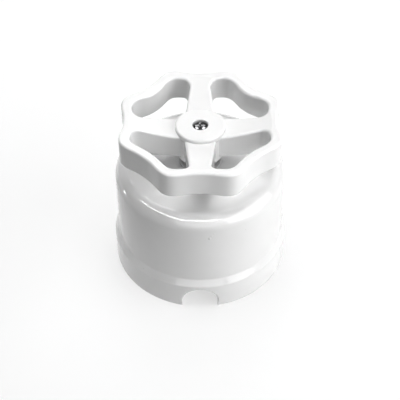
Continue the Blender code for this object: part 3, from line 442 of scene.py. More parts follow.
def upper_profile(shape, level):
    """Profile from a level on the foot ring over the top and down the hollow to that level.

    The shoulder is an arc; the crown between it and the flat falls away with the square
    of the distance from the flat.
    """
    shoulder_z = shape.top_height - shape.crown - shape.shoulder
    fall = 2 * shape.crown / (shape.wall_radius - shape.shoulder - shape.bush_hole)
    lower = eased_profile([
        (shape.foot_radius, level, 0),
        (shape.foot_radius, shape.foot_height, shape.foot_rounding),
        (shape.wall_radius, shape.foot_height + shape.cone_height, shape.cone_rounding),
        (shape.wall_radius, shoulder_z, 0)])
    turn = np.linspace(0, QUARTER - math.atan(fall), 36)[1:]
    centre = np.array((shape.wall_radius - shape.shoulder, shoulder_z))
    arc = centre + shape.shoulder * stacked(np.cos(turn), np.sin(turn))
    start = arc[-1, 0]
    radius = np.linspace(start, shape.flat_radius, 24)[1:]
    way = (radius - shape.flat_radius) / (start - shape.flat_radius)
    top = stacked(radius, shape.top_height + (arc[-1, 1] - shape.top_height) * way ** 2)
    under = shape.top_height - shape.ceiling
    inner = eased_profile([
        (shape.flat_radius, shape.top_height, 0),
        (shape.bush_hole, shape.top_height, 0.4 * MM),
        (shape.bush_hole, under, 0.4 * MM),
        (shape.bore_radius, under, 3.0 * MM),
        (shape.bore_radius, level, 0)], facet=0.3 * MM, line_step=3 * MM)
    return np.concatenate((lower, arc, top, inner[1:]))


# Handwheel

CORNER_STEPS, EDGE_STEPS, END_STEPS = 24, 60, 60    # dense points of a window's outline
EDGE_ROWS, FLAT_ROWS, WALL_ROWS = 8, 11, 8          # rows of a column's edges, flats and wall
RIM_STRIP = 1.7 * MM        # width of the strip that runs along the wavy outline
HIDDEN_DEPTH = 1.4 * MM     # how far the spokes reach into the hub's barrel
HUB_SHARE = 0.06            # part of a window's straight edge whose columns end in the hub
SPOKE_SHARE = 0.42          # part of its end arc whose columns end on the spoke's middle
DROP_SIDE = (0.3 * MM, 3.5 * MM)        # way into a window over which the drop fades out
DROP_END = (23.5 * MM, 27.3 * MM)       # radii over which it fades out towards the rim


def polar(radius, angle):
    """Points in the plane at radii and angles."""
    return stacked(radius * np.cos(angle), radius * np.sin(angle))


def swung(x, y, angle):
    """Coordinates turned about the axis by an angle."""
    return np.cos(angle) * x - np.sin(angle) * y, np.sin(angle) * x + np.cos(angle) * y


def raised(places, height):
    """Points over places in the plane."""
    return stacked(places[..., 0], places[..., 1], height)


def read_off(at, run, points):
    """Points of a curve, given at its runs, where another run passes."""
    return stacked(*(np.interp(at, run, column) for column in points.T))


def right_of(tangent):
    """Unit vectors at right angles to tangents, on their right."""
    return unit(stacked(tangent[:, 1], -tangent[:, 0]))


def rim_radius(shape, angle):
    """The wavy outline's radius: a middle radius less a wave of eight lobes, plus a smaller
    wave of sixteen that shapes them. The angle is counted from a spoke."""
    return shape.radius - shape.swell * np.cos(8 * angle) + shape.rounding * np.cos(16 * angle)


def spoke_half(shape, lengthwise):
    """Half a spoke's width at a distance from the axis: it grows evenly towards the hub."""
    inner_radius = shape.radius - shape.rim_width
    return shape.spoke_width / 2 + shape.spoke_taper * (inner_radius - lengthwise)


def arc_points(centre, radius, first, last, count):
    """Points on an arc about a centre, at even angles, without the last one."""
    return centre + polar(radius, np.linspace(first, last, count + 1)[:-1])


def window_half(shape):
    """Half of a window's outline, from its hub corner's middle to its rim's middle.

    An arc at the hub, the tapering spoke's straight edge, an arc of the end radius that
    touches both the edge and the rim's inner contour, and that contour, which is the
    wavy outline less the rim's width. Returns dense points, their runs, and the runs at
    which the straight edge begins and the end arc begins and ends.
    """
    slope = -math.atan(shape.spoke_taper)
    ahead = polar(1.0, slope)
    inward = polar(1.0, slope + QUARTER)
    half_width = spoke_half(shape, 0.0)
    inner_radius = shape.radius - shape.rim_width
    start = np.array((0.0, half_width))
    angle = np.linspace(0, EIGHTH, 1500)
    contour = polar(rim_radius(shape, angle) - shape.rim_width, angle)
    reach = np.linspace(0.4, 1.0, 1200) * inner_radius
    centres = start + ahead * reach[:, None] + inward * shape.end_radius
    clearance = np.linalg.norm(centres[:, None] - contour, axis=2).min(axis=1)
    inside = np.linalg.norm(centres, axis=1) < inner_radius
    centre = centres[np.flatnonzero((clearance > shape.end_radius) & inside)[-1]]
    touch = int(np.argmin(np.linalg.norm(contour - centre, axis=1)))
    to_touch = contour[touch] - centre

    opening = EIGHTH - slope
    corner = start + ahead * half_width * math.cos(EIGHTH) / math.sin(opening)
    hub_reach = np.linalg.norm(corner) + shape.hub_corner / math.sin(opening)
    hub_centre = polar(hub_reach, EIGHTH)
    hub_first = EIGHTH + math.pi
    hub_last = hub_first + QUARTER - opening
    hub_arc = arc_points(hub_centre, shape.hub_corner, hub_first, hub_last, CORNER_STEPS)
    edge_first = hub_centre + polar(shape.hub_corner, hub_last)
    edge_last = centre - inward * shape.end_radius
    weight = np.linspace(0, 1, EDGE_STEPS + 1)[:-1, None]
    edge = edge_first + (edge_last - edge_first) * weight
    end_arc = arc_points(centre, shape.end_radius, math.atan2(-inward[1], -inward[0]),
                         math.atan2(to_touch[1], to_touch[0]), END_STEPS)
    outline = np.concatenate((hub_arc, edge, end_arc, contour[touch:]))
    steps = np.linalg.norm(np.diff(outline, axis=0), axis=1)
    distance = np.concatenate(([0.0], np.cumsum(steps)))
    return outline, distance, distance[np.cumsum((CORNER_STEPS, EDGE_STEPS, END_STEPS))]


def face_height(shape, hub, points):
    """Height of the upper face: level rim, lifted towards the lobes' tips, a dish whose
    depth grows by a power of the way in from its border, and the glaze that rises
    against the hub's disc as a quarter circle."""
    radius = np.linalg.norm(points, axis=-1)
    way = np.clip(radius / shape.dish_radius, 0, 1)
    reach = shape.radius + shape.swell + shape.rounding - shape.dish_radius
    rise = shape.lift * np.clip((radius - shape.dish_radius) / reach, 0, 1.05)
    face = shape.top - shape.dish_depth * (1 - way ** shape.dish_power) + rise
    size = hub.fillet
    gap = np.clip(radius - (hub.disc_radius - 0.15 * MM), 0, size)
    return face + size - np.sqrt(np.maximum(size ** 2 - (size - gap) ** 2, 0))


def under_height(shape, points):
    """Height of the underside: level under the rim and lower by the spokes' drop under the
    spokes and the hub. The drop fades out smoothly with the radius and with the way from
    the tapering spoke's edge into the window."""
    radius = np.linalg.norm(points, axis=-1)
    beyond = np.abs(points).min(axis=-1) - spoke_half(shape, np.abs(points).max(axis=-1))
    inside = 1 - smooth_step(beyond, *DROP_SIDE)
    inner = 1 - smooth_step(radius, *DROP_END)
    return shape.bottom - shape.spoke_drop * inside * inner


def spoke_frame(turn, points, at):
    """Points of a curve, given over the turn from a spoke to the middle between two, read
    anywhere round the wheel: folded to the nearest spoke, mirrored to its side and swung."""
    folded = (at + EIGHTH) % QUARTER
    side = np.where(folded < EIGHTH, -1.0, 1.0)
    fold = np.abs(folded - EIGHTH)
    x, y = read_off(fold, turn, points).T
    return stacked(*swung(x, y * side, at - side * fold))


def column_rows(shape, hub, edge_place, normal, far_end):
    """Rows of points that wrap a cell: over the underside from its far end, round the
    lower edge, up the wall, round the upper edge and back over the face.

    An edge is a quarter circle in the distance from the outline, measured along its
    normal; the flat parts are weighted means of the edge's end and the far end.
    """
    quarter = np.linspace(0, QUARTER, EDGE_ROWS + 1)[1:]
    flat = np.linspace(0, 1, FLAT_ROWS + 1)[1:]

    def sweep(size):
        """Places and drops of one edge and the flat part behind it."""
        offset = size * (1 - np.cos(quarter))
        drop = size * (1 - np.sin(quarter))
        near = edge_place + normal * size
        places = np.concatenate((edge_place + normal * offset[:, None, None],
                                 near + (far_end - near) * flat[:, None, None]))
        return places, np.concatenate((drop, np.zeros(FLAT_ROWS)))[:, None]

    places, drop = sweep(shape.bottom_edge)
    under = raised(places, under_height(shape, places) + drop)
    places, drop = sweep(shape.top_edge)
    over = raised(places, face_height(shape, hub, places) - drop)
    low = under_height(shape, edge_place) + shape.bottom_edge
    high = face_height(shape, hub, edge_place) - shape.top_edge
    wall = raised(edge_place, low + (high - low) * np.linspace(0, 1, WALL_ROWS)[:, None])
    return np.concatenate((under[::-1], wall, over))


def handwheel_patches(shape, hub):
    """Rim and spokes as four cells round the windows, a strip round the outline and a
    hidden wall inside the hub.

    A cell's columns leave the window's outline at right angles and end on the spoke's
    middle line, on a line just inside the wavy outline, or on the hub's hidden wall.
    """
    outline, distance, (edge_start, end_start, end_stop) = window_half(shape)
    total = distance[-1]
    samples = np.concatenate((
        np.linspace(0, edge_start, 13)[:-1],
        edge_start + (end_start - edge_start) * np.linspace(0, 1, 53)[:-1] ** 1.5,
        np.linspace(end_start, end_stop, 33)[:-1],
        np.linspace(end_stop, total, 33)))
    place = read_off(samples, distance, outline)
    tangent = read_off(samples, distance, np.gradient(outline, distance, axis=0))
    tangent[0] = polar(1.0, EIGHTH - QUARTER)
    tangent[-1] = polar(1.0, EIGHTH + QUARTER)

    hidden = hub.barrel_radius - HIDDEN_DEPTH
    turn = np.linspace(0, EIGHTH, 900)
    rim = polar(rim_radius(shape, turn), turn)
    rim_tangent = np.gradient(rim, turn, axis=0)
    rim_tangent[0] = (0.0, 1.0)
    rim_tangent[-1] = polar(1.0, EIGHTH + QUARTER)

    def rim_line(turns):
        """Places on the wavy outline and its outward directions at turns."""
        return (spoke_frame(turn, rim, turns),
                unit(spoke_frame(turn, right_of(rim_tangent), turns)))

    hub_run = edge_start + HUB_SHARE * (end_start - edge_start)
    spoke_run = end_start + SPOKE_SHARE * (end_stop - end_start)
    on_hub, on_spoke = samples[np.searchsorted(samples, (hub_run, spoke_run))]
    hub_turn = EIGHTH * (1 - np.clip(samples / on_hub, 0, 1))
    end = polar(hidden, hub_turn)
    edge_x, stop = read_off(end_start, distance, outline)[0], read_off(end_stop, distance, outline)
    spoke_x = np.interp(samples, (on_hub, end_start, on_spoke),
                        (hidden, edge_x + 0.6 * MM, rim[0, 0] - RIM_STRIP))
    on_axis = (samples >= on_hub) & (samples <= on_spoke)
    end[on_axis] = stacked(spoke_x, 0.0)[on_axis]
    rim_turn = np.interp(samples, (on_spoke, end_stop, total),
                         (0.0, math.atan2(stop[1], stop[0]), EIGHTH))
    rim_place, rim_way = rim_line(rim_turn)
    on_rim = samples > on_spoke
    end[on_rim] = (rim_place - rim_way * RIM_STRIP)[on_rim]

    def both_halves(values):
        """Add the other half of the window, mirrored about its middle line."""
        axis = polar(1.0, EIGHTH)
        flipped = 2 * (values @ axis)[:, None] * axis - values
        return np.concatenate((values, flipped[-2:0:-1]))

    def four_times(half):
        """Angles from a spoke to a window's middle, carried on round all four windows."""
        turns = np.concatenate((half, QUARTER - half[-2:0:-1]))
        return (turns + np.arange(4)[:, None] * QUARTER).ravel()

    cell = column_rows(shape, hub, both_halves(place), both_halves(right_of(tangent)),
                       both_halves(end))
    cells = [stacked(*swung(cell[..., 0], cell[..., 1], quarter), cell[..., 2])
             for quarter in np.arange(4) * QUARTER]
    outer, way = rim_line(four_times(rim_turn[samples >= on_spoke]))
    strip = column_rows(shape, hub, outer, -way, outer - way * RIM_STRIP)
    circle = polar(hidden, four_times(hub_turn[samples <= on_hub][::-1]))
    upper = face_height(shape, hub, circle)
    lower = under_height(shape, circle)
    wall = raised(circle, lower + (upper - lower) * np.linspace(0, 1, 5)[:, None])
    return [(grid, False, True) for grid in (*cells, strip, wall)]


def hub_profile(shape):
    """Closed profile of the hub: well, disc, barrel, spindle's socket and screw hole."""
    seat = shape.disc_top - shape.well_depth
    disc_bottom = shape.disc_top - shape.disc_thickness
    return eased_profile([
        (shape.screw_hole, seat, 0),
        (shape.well_radius, seat, 0.25 * MM),
        (shape.well_radius, shape.disc_top, 0.4 * MM),
        (shape.disc_radius, shape.disc_top, shape.disc_edge),
        (shape.disc_radius, disc_bottom, 0.5 * MM),
        (shape.barrel_radius, disc_bottom - 0.8 * MM, 0.3 * MM),
        (shape.barrel_radius, shape.barrel_bottom, shape.barrel_edge),
        (shape.socket_radius, shape.barrel_bottom, 0.3 * MM),
        (shape.socket_radius, seat - shape.web, 0),
        (shape.screw_hole, seat - shape.web, 0),
        (shape.screw_hole, seat, 0)], facet=0.1 * MM)


# Metal pieces

def screw_patches(shape):
    """Domed screw head with a cross sunk into it, and its shank.

    The head's height is a shallow dome, a power of the radius, less a cross: the depth
    falls off evenly from the slot's floor to its width and gently towards its ends.
    """
    angles = around(144)
    face = shape.head_radius - 0.3 * MM
    radius = np.linspace(0, 1, 73)[1:, None] * face
    x, y = radius * np.cos(angles), radius * np.sin(angles)
    dome = shape.head_top - shape.head_dome * (radius / shape.head_radius) ** 2.2

    def slot(across, lengthwise):
        """Share of the full depth in one slot of the cross."""
        run_out = (shape.cross_width - shape.cross_floor) / 2
        side = (shape.cross_width / 2 - np.abs(across)) / run_out
        reach = shape.cross_reach
        end = 1 - smooth_step(np.abs(lengthwise), reach - 0.5 * MM, reach)
        return np.clip(side, 0, 1) * end

    cross = np.maximum(slot(x, y), slot(y, x))
    top = stacked(x, y, dome - shape.cross_depth * cross)
    centre = np.zeros((1, len(angles), 3))
    centre[..., 2] = shape.head_top - shape.cross_depth
    rim = float(dome[-1, 0])
    edge = turned_grid(eased_profile([
        (face, rim, 0),
        (shape.head_radius, rim - 0.14 * MM, 0.12 * MM),
        (shape.head_radius, shape.head_top - shape.head_height, 0.1 * MM),
        (shape.shank_radius, shape.head_top - shape.head_height, 0),
        (shape.shank_radius, shape.shank_bottom, 0.2 * MM),
        (0.0, shape.shank_bottom, 0)], facet=0.08 * MM, line_step=2 * MM), angles)
    return [(np.concatenate((centre, top, edge[1:])), False, True)]


def ring_nut_grid(shape):
    """Ring nut with four wrench slots: a closed profile with eased edges, turned about the
    axis, whose outer part is drawn in by the slots' depth where a slot runs, between
    steep but smooth sides.
    """
    low, high = NUT_LOW[2], NUT_HIGH[2]
    profile = eased_profile([
        (shape.nut_bore, low, 0),
        (shape.nut_bore, high, 0.25 * MM),
        (shape.nut_radius, high, 0.4 * MM),
        (shape.nut_radius, low, 0.25 * MM),
        (shape.nut_bore, low, 0)], facet=0.08 * MM, line_step=0.5 * MM)[:-1]
    angles = around(256)
    radius = profile[:, :1]
    span = shape.nut_radius - shape.nut_bore
    half_slot, side = shape.nut_slot / 2, 0.12 * MM
    across = shape.nut_radius * np.abs((angles + QUARTER) % QUARTER - EIGHTH)
    slot = 1 - smooth_step(across, half_slot - side, half_slot + side)
    outer = smooth_step(radius, shape.nut_bore + 0.3 * span, shape.nut_radius - 0.05 * span)
    return turned(radius - shape.nut_slot_depth * outer * slot, profile[:, 1:], angles)


def washer_profile(shape):
    """Closed profile of the washer under the ring nut, with eased edges."""
    low, high, radius = WASHER_LOW[2], WASHER_HIGH[2], WASHER_HIGH[0]
    return eased_profile([
        (shape.nut_bore, low, 0),
        (shape.nut_bore, high, 0.1 * MM),
        (radius, high, 0.22 * MM),
        (radius, low, 0.12 * MM),
        (shape.nut_bore, low, 0)], facet=0.06 * MM, line_step=0.6 * MM)[:-1]


# Finishes

PATTERN_RANGE = (0.3, 0.7)      # the part of a noise pattern's range that is used


class Finish:
    """A material under construction: its nodes, links and Principled shader."""

    def __init__(self, name):
        self.material = bpy.data.materials.new(name)
        self.material.use_nodes = True
        self.tree = self.material.node_tree
        self.coordinates = self.add("ShaderNodeTexCoord").outputs["Object"]

    def fill(self, socket, value):
        """Link an input to another node's output, or set its constant."""
        if isinstance(value, bpy.types.NodeSocket):
            self.tree.links.new(value, socket)
        else:
            socket.default_value = value

    def add(self, kind, inputs=None, **settings):
        """Add a node, set its attributes and fill its inputs."""
        node = self.tree.nodes.new(kind)
        for name, value in settings.items():
            setattr(node, name, value)
        for socket, value in (inputs or {}).items():
            self.fill(node.inputs[socket], value)
        return node

    def shade(self, **inputs):
        """Fill the shader's inputs, named with underscores for spaces."""
        shader = self.tree.nodes["Principled BSDF"]
        for name, value in inputs.items():
            self.fill(shader.inputs[name.replace("_", " ")], value)
        return self.material

    def noise(self, scale, detail=2.0, roughness=0.5, stretch=None):
        """A noise pattern in object space, stretched if a scale for each axis is given."""
        source = self.coordinates
        if stretch is not None:
            mapping = self.add("ShaderNodeMapping", {"Vector": source, "Scale": stretch})
            source = mapping.outputs["Vector"]
        inputs = {"Vector": source, "Scale": scale, "Detail": detail, "Roughness": roughness}
        return self.add("ShaderNodeTexNoise", inputs).outputs["Fac"]

    def blend(self, factor, first, second):
        """A colour ramp between two colours over a pattern's range."""
        ramp = self.add("ShaderNodeValToRGB", {"Fac": factor})
        for stop, place, colour in zip(ramp.color_ramp.elements, PATTERN_RANGE, (first, second)):
            stop.position = place
            stop.color = (*colour, 1.0)
        return ramp.outputs["Color"]

    def spread(self, factor, low, high, source=PATTERN_RANGE, ease="LINEAR"):
        """A pattern's range carried over to a range of numbers."""
        inputs = {"Value": factor, "From Min": source[0], "From Max": source[1],
                  "To Min": low, "To Max": high}
        return self.add("ShaderNodeMapRange", inputs, interpolation_type=ease).outputs["Result"]

    def combine(self, operation, first, second):
        """Two numbers added or multiplied."""
        node = self.add("ShaderNodeMath", {0: first, 1: second}, operation=operation)
        return node.outputs["Value"]

    def darken(self, colour, amount):
        """A colour mixed towards dark grey by an amount."""
        inputs = {"Factor": amount, "A": colour, "B": (0.05, 0.05, 0.05, 1.0)}
        node = self.add("ShaderNodeMix", inputs, data_type="RGBA", blend_type="MIX")
        return node.outputs["Result"]

    def bell(self, place, radius):
        """1 at a place given in millimetres, falling smoothly to 0 at a radius from it."""
        inputs = {0: self.coordinates, 1: tuple(part * MM for part in place)}
        node = self.add("ShaderNodeVectorMath", inputs, operation="DISTANCE")
        return self.spread(node.outputs["Value"], 1.0, 0.0, (0.0, radius), "SMOOTHSTEP")

    def bump(self, height, strength, distance, below=None):
        """Raise the surface by a pattern, over an earlier bump if there is one."""
        inputs = {"Strength": strength, "Distance": distance, "Height": height}
        if below is not None:
            inputs["Normal"] = below
        return self.add("ShaderNodeBump", inputs).outputs["Normal"]


# Flaws in the glaze of the wall, one of them darkened as painted shade: place in millimetres,
# radius, depth and darkening.
FLAWS_AND_PAINTED_SHADE = (
    ((3.50, -33.22, 37.7), 0.80, -0.22, 0.0),
    # A real dent below and left of the chip; its darkening is painted shade of the chip's shaded
    # side.
    ((3.15, -33.25, 37.4), 0.45, 0.10, 0.12),
    ((4.30, -33.12, 38.9), 0.45, -0.07, 0.0),
    ((5.30, -32.98, 40.1), 0.40, -0.07, 0.0),
    ((17.10, -28.69, 37.7), 0.30, 0.05, 0.22),
    ((-8.42, -32.32, 16.6), 0.22, 0.03, 0.06),
)


def white_glaze(tones):
    """White glaze: a faint change of white where it lies thinner, a slow waviness, scarce
    grey specks, and the wall's few pits and grains.

    A flaw is a bell in the distance from its place: it sinks the surface, or raises it
    where its depth is below zero, and darkens the colour in its middle. The pit beside
    the chip is darkened as painted shade of the chip's lower-left side.
    """
    finish = Finish("white_glaze")
    colour = finish.blend(finish.noise(45.0, 3.0), tones.glaze_thin, tones.glaze)
    specks = finish.add("ShaderNodeTexVoronoi", {"Vector": finish.coordinates, "Scale": 95.0},
                        feature="F1").outputs["Distance"]
    colour = finish.darken(colour, finish.spread(specks, 0.16, 0.0, (0.012, 0.03)))
    height = None
    for place, radius, depth, shade in FLAWS_AND_PAINTED_SHADE:
        bell = finish.bell(place, radius * MM)
        sunk = finish.combine("MULTIPLY", bell, -depth * MM)
        height = sunk if height is None else finish.combine("ADD", height, sunk)
        if shade > 0:
            colour = finish.darken(colour, finish.combine("MULTIPLY", bell, shade))
    gloss = tones.glaze_gloss
    wave = finish.bump(finish.noise(70.0, 1.0), 0.25, 0.04 * MM)
    return finish.shade(
        Base_Color=colour, IOR=1.5, Metallic=0.0, Normal=finish.bump(height, 1.0, 1.0, wave),
        Roughness=finish.spread(finish.noise(160.0, 2.0), gloss * 0.8, gloss * 1.2))


def scaled(colour, factor):
    """A colour made darker or lighter, as far as white."""
    return tuple(min(1.0, factor * part) for part in colour)


def bare_porcelain(tones):
    """Unglazed porcelain: chalky, finely grained, slightly mottled."""
    finish = Finish("unglazed_bisque")
    return finish.shade(
        Base_Color=finish.blend(finish.noise(220.0, 5.0), scaled(tones.bisque, 0.9), tones.bisque),
        Roughness=0.62, Normal=finish.bump(finish.noise(2600.0, 3.0), 0.35, 0.03 * MM))


def plated_metal(name, colour, roughness, grain=(1.0, 1.0, 12.0)):
    """Plated or turned metal: fine turning marks and a slightly uneven gloss."""
    finish = Finish(name)
    marks = finish.noise(900.0, 3.0, 0.6, stretch=grain)
    return finish.shade(
        Base_Color=finish.blend(finish.noise(400.0, 3.0), scaled(colour, 0.86), colour),
        Metallic=1.0, Normal=finish.bump(marks, 0.25, 0.01 * MM),
        Roughness=finish.spread(finish.noise(900.0, 2.0), roughness * 0.75, roughness * 1.3))


def moulded_plastic(name, colour, roughness, mottle):
    """Moulded plastic: a mottled colour under a fine moulded grain."""
    finish = Finish(name)
    return finish.shade(
        Base_Color=finish.blend(finish.noise(350.0, 4.0), colour, scaled(colour, mottle)),
        Normal=finish.bump(finish.noise(3000.0, 2.0), 0.2, 0.02 * MM),
        Roughness=finish.spread(finish.noise(700.0, 2.0), roughness * 0.85, roughness * 1.15))


def give(material, *items):
    """Make a material the only one of each object."""
    for item in items:
        item.data.materials.clear()
        item.data.materials.append(material)


def shared_glaze(context):
    """The glaze, made once for all porcelain pieces that carry it."""
    return bpy.data.materials.get("white_glaze") or white_glaze(context.scene.switch_finish)


# Operators

class SWITCH_OT_cover(bpy.types.Operator):
    """Build the glazed cover with its foot ring and cable notch"""
    bl_idname = "switch.cover"
    bl_label = "Cover"

    def execute(self, context):
        shape = context.scene.switch_cover
        item = surface_object("glazed_cover", [(cover_grid(shape), True, True)])
        give(shared_glaze(context), item)
        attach(item, "switch_body")
        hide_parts("cover")
        return {"FINISHED"}


class SWITCH_OT_handwheel(bpy.types.Operator):
    """Build the handwheel's rim and spokes, and its hub"""
    bl_idname = "switch.handwheel"
    bl_label = "Handwheel"

    def execute(self, context):
        shape, hub_shape = context.scene.switch_wheel, context.scene.switch_hub
        wheel = surface_object("rim_and_spokes", handwheel_patches(shape, hub_shape))
        hub_grid = turned_grid(hub_profile(hub_shape), around(160))
        hub = surface_object("hub", [(hub_grid, False, True)], math.radians(50))
        for item in (wheel, hub):
            give(shared_glaze(context), item)
            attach(item, "knob")
            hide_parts("handwheel")
        return {"FINISHED"}


class SWITCH_OT_knob_screw(bpy.types.Operator):
    """Build the chromed cross-head screw in the hub's well"""
    bl_idname = "switch.knob_screw"
    bl_label = "Knob screw"

    def execute(self, context):
        shape = context.scene.switch_metal
        item = surface_object("cross_head_screw", screw_patches(shape), math.radians(40))
        chrome = plated_metal("chrome_plate", context.scene.switch_finish.chrome, 0.06)
        give(chrome, item, frame["nodes"]["knob_lock_washer"])
        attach(item, "knob")
        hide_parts("knob_screw")
        return {"FINISHED"}


class SWITCH_OT_ring_nut(bpy.types.Operator):
    """Build the ring nut and its washer, and finish the bush and its lower nut"""
    bl_idname = "switch.ring_nut"
    bl_label = "Ring nut"

    def execute(self, context):
        shape, tones = context.scene.switch_metal, context.scene.switch_finish
        nut_grid = ring_nut_grid(shape)
        washer_grid = turned_grid(washer_profile(shape), around(160))
        nut = surface_object("slotted_ring_nut", [(nut_grid, True, True)], math.radians(50))
        washer = surface_object("nut_washer", [(washer_grid, True, True)])
        nickel = plated_metal("nickel_plate", tones.nickel, 0.09)
        give(nickel, nut, frame["nodes"]["threaded_bush"], frame["nodes"]["bush_nut"])
        give(moulded_plastic("grey_nylon", tones.nylon, 0.42, 0.94), washer)
        for item, node, slot in ((nut, "ring_nut", "nickelled_brass"),
                                 (washer, "cover_washer", "nylon")):
            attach(item, "switch_body")
            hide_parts(node)
        return {"FINISHED"}


class SWITCH_OT_mechanism(bpy.types.Operator):
    """Finish the base plate and the pieces of the mechanism"""
    bl_idname = "switch.mechanism"
    bl_label = "Mechanism"

    def execute(self, context):
        tones = context.scene.switch_finish
        finishes = {
            "brass": plated_metal("turned_brass", tones.brass, 0.28),
            "bronze": plated_metal("rolled_bronze", tones.bronze, 0.32, (1.0, 9.0, 1.0)),
            "steel": plated_metal("zinc_plated_steel", tones.steel, 0.34, (1.0, 7.0, 1.0)),
            "phenolic": moulded_plastic("brown_moulding", tones.phenolic, 0.38, 1.9),
            "bare_porcelain": bare_porcelain(tones),
        }
        for entry in frame["record"]["subparts"]:
            if entry["material_slot"] in finishes:
                give(finishes[entry["material_slot"]], frame["nodes"][entry["node"]])
        return {"FINISHED"}


class SWITCH_OT_stage(bpy.types.Operator):
    """Set out the pale floor, the black card, the soft lights and the camera"""
    bl_idname = "switch.stage"
    bl_label = "Stage"

    def execute(self, context):
        studio = context.scene.switch_studio
        lay_floor(studio)
        stand_card()
        surround(context.scene, studio)
        hang_lights(context.scene)
        set_camera(studio)
        context.scene.view_settings.view_transform = "Standard"
        context.scene.view_settings.gamma = studio.contrast
        return {"FINISHED"}


# Stage

FLOOR_REACH = 6.0               # half of the floor's side
FLOOR_GAP = 0.05 * MM           # the floor lies this much under the switch
CARD_TURN = math.radians(-62)   # where the card stands, counted from the notch
CARD_DISTANCE, CARD_WIDTH, CARD_HEIGHT = 112 * MM, 170 * MM, 110 * MM


def stage_object(name, points, faces, material):
    """An object of the stage, made of a grid of points."""
    mesh = bpy.data.meshes.new(name)
    mesh.from_pydata(points.reshape(-1, 3), [], faces)
    item = bpy.data.objects.new(name, mesh)
    bpy.context.scene.collection.objects.link(item)
    give(material, item)
    return item


def lay_floor(studio):
    """A flat square floor just under the switch."""
    side = np.linspace(-FLOOR_REACH, FLOOR_REACH, 5)
    finish = Finish("pale_floor")
    finish.shade(
        Base_Color=finish.blend(finish.noise(30.0, 2.0), studio.floor, scaled(studio.floor, 1.01)),
        Roughness=0.8, Specular_IOR_Level=0.1, Emission_Color=(1.0, 1.0, 1.0, 1.0),
        Emission_Strength=studio.floor_glow)
    floor = stage_object("floor", stacked(side[:, None], side, -FLOOR_GAP),
                         grid_faces(5, 5)[:, ::-1], finish.material)


def stand_card():
    """A black card at the left, outside the picture, that keeps light off that side. Only
    diffuse light meets it: neither the camera nor the gloss sees it."""
    outward = np.array((math.sin(CARD_TURN), -math.cos(CARD_TURN)))
    width = CARD_WIDTH * np.linspace(-0.5, 0.5, 9)[:, None, None]
    along = CARD_DISTANCE * outward + width * np.array((math.cos(CARD_TURN), math.sin(CARD_TURN)))
    points = raised(along, CARD_HEIGHT * np.linspace(0.0, 1.0, 5))
    finish = Finish("black_card")
    finish.shade(
        Base_Color=finish.blend(finish.noise(60.0, 2.0), (0.012,) * 3, (0.02,) * 3),
        Roughness=0.9, Specular_IOR_Level=0.0)
    card = stage_object("black_card", points, grid_faces(9, 5), finish.material)
    card.visible_camera = False
    card.visible_glossy = False
    card.visible_shadow = False


def surround(scene, studio):
    """A pale backdrop that only the camera sees, so that it adds no light."""
    world = bpy.data.worlds.new("studio")
    scene.world = world
    world.use_nodes = True
    world.cycles_visibility.diffuse = False
    world.cycles_visibility.glossy = False
    background = world.node_tree.nodes["Background"]
    background.inputs["Color"].default_value = (1.0, 1.0, 1.0, 1.0)
    background.inputs["Strength"].default_value = studio.backdrop


# Soft boxes: name, place and aim in millimetres, width, height and radiance. Those of
# LIGHTS light the surfaces; those of SHEEN_LIGHTS are what the glaze and metal reflect.
LIGHTS = (
    ("box_right", (608, -264, 477), (0, 0, 30), 878, 340, 3.7),
    ("box_right_low", (720, -313, 183), (0, 0, 30), 1040, 311, 3),
    ("box_back_left_low", (-599, 503, 196), (0, 0, 30), 904, 282, 1.61),
    ("box_back_low", (0, 782, 196), (0, 0, 30), 570, 282, 7.5),
    ("box_top", (0, 0, 830), (0, 0, 0), 520, 350, 5.55),
    ("box_top_front", (0, -436, 701), (0, 0, 30), 503, 311, 1.41),
    ("box_top_left", (-424, 0, 708), (0, 0, 30), 490, 340, 3.37),
    ("box_top_back", (0, 376, 736), (0, 0, 30), 434, 340, 3.29),
)
SHEEN_LIGHTS = (
    ("sheen_front", (46, -479, 669), (0, 0, 30), 459, 112, 15.25),
    ("sheen_right", (488, -144, 647), (0, 0, 30), 933, 182, 4.83),
    ("sheen_left", (-420, -257, 660), (0, 0, 30), 784, 84, 15.19),
    ("sheen_right_low", (651, -290, 393), (0, 0, 30), 962, 489, 4.9),
    ("sheen_back_right", (541, 454, 406), (0, 0, 30), 514, 520, 1.28),
    ("sheen_front_low", (0, -739, 336), (0, 0, 30), 841, 630, 2.65),
    ("sheen_lamp", (-344, 67, 24), (0, 0, 30), 34, 70, 10),
    ("sheen_glint_left", (-181, 416, 689), (0, 0, 30), 152, 239, 5),
    ("sheen_glint_right", (181, 416, 689), (0, 0, 30), 152, 239, 5),
    ("sheen_in_left", (-203, -200, 790), (-203, -200, 30), 180, 50, 5),
    ("sheen_in_right", (203, -200, 790), (203, -200, 30), 180, 50, 8),
    ("sheen_right_floor", (633, -477, 141), (0, 0, 30), 646, 282, 4),
    ("sheen_back_high", (0, 274, 782), (0, 0, 30), 948, 282, 0.4),
)


def hang_lights(scene):
    """Soft boxes outside the picture; a box's power is its radiance times pi times its area."""
    for table, mirrored in ((LIGHTS, False), (SHEEN_LIGHTS, True)):
        for name, place, aim, width, height, radiance in table:
            lamp = bpy.data.lights.new(name, "AREA")
            lamp.shape = "RECTANGLE"
            lamp.size = width * MM
            lamp.size_y = height * MM
            lamp.energy = radiance * math.pi * lamp.size * lamp.size_y
            item = bpy.data.objects.new(name, lamp)
            item.location = Vector(place) * MM
            way = Vector(aim) - Vector(place)
            item.rotation_euler = way.to_track_quat("-Z", "Y").to_euler()
            item.visible_camera = False
            item.visible_diffuse = not mirrored
            item.visible_glossy = mirrored
            scene.collection.objects.link(item)


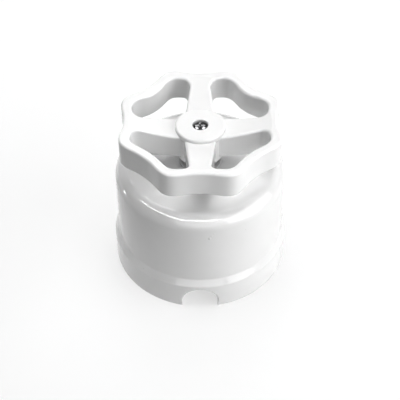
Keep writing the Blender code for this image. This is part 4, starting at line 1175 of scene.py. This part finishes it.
def set_camera(studio):
    """A camera in front of the notch, at the photograph's height and distance."""
    lens = bpy.data.cameras.new("camera")
    lens.lens = studio.lens
    lens.sensor_width = 36.0
    lens.shift_x, lens.shift_y = -0.0006, -0.0024
    lens.clip_start = 0.01
    camera = bpy.data.objects.new("camera", lens)
    camera.location = (0.0, -studio.distance * math.cos(studio.elevation),
                       studio.aim_height + studio.distance * math.sin(studio.elevation))
    camera.rotation_euler = (QUARTER - studio.elevation, 0.0, 0.0)
    bpy.context.scene.collection.objects.link(camera)
    bpy.context.scene.camera = camera


# Add-on

class SWITCH_PT_panel(bpy.types.Panel):
    """Buttons for each piece of the switch, and the sizes behind them"""
    bl_idname = "SWITCH_PT_panel"
    bl_label = "Porcelain Switch"
    bl_space_type = "VIEW_3D"
    bl_region_type = "UI"
    bl_category = "Switch"

    def draw(self, context):
        for operator in OPERATORS:
            self.layout.operator(operator.bl_idname)
        for name, kind in GROUPS.items():
            box = self.layout.box()
            for setting in kind.__annotations__:
                box.prop(getattr(context.scene, name), setting)


OPERATORS = (SWITCH_OT_cover, SWITCH_OT_handwheel, SWITCH_OT_knob_screw, SWITCH_OT_ring_nut,
             SWITCH_OT_mechanism, SWITCH_OT_stage)
GROUPS = {"switch_cover": CoverShape, "switch_wheel": WheelShape, "switch_hub": HubShape,
          "switch_metal": MetalShape, "switch_finish": SwitchFinish,
          "switch_studio": StudioSettings}


def register():
    for name, group in GROUPS.items():
        bpy.utils.register_class(group)
        setattr(bpy.types.Scene, name, bpy.props.PointerProperty(type=group))
    for kind in (*OPERATORS, SWITCH_PT_panel):
        bpy.utils.register_class(kind)


def unregister():
    for kind in (SWITCH_PT_panel, *reversed(OPERATORS)):
        bpy.utils.unregister_class(kind)
    for name, group in GROUPS.items():
        delattr(bpy.types.Scene, name)
        bpy.utils.unregister_class(group)


def main():
    """Build every piece and set out the stage."""
    register()
    bpy.ops.switch.cover()
    bpy.ops.switch.handwheel()
    bpy.ops.switch.knob_screw()
    bpy.ops.switch.ring_nut()
    bpy.ops.switch.mechanism()
    bpy.ops.switch.stage()


if __name__ == "__main__":
    main()
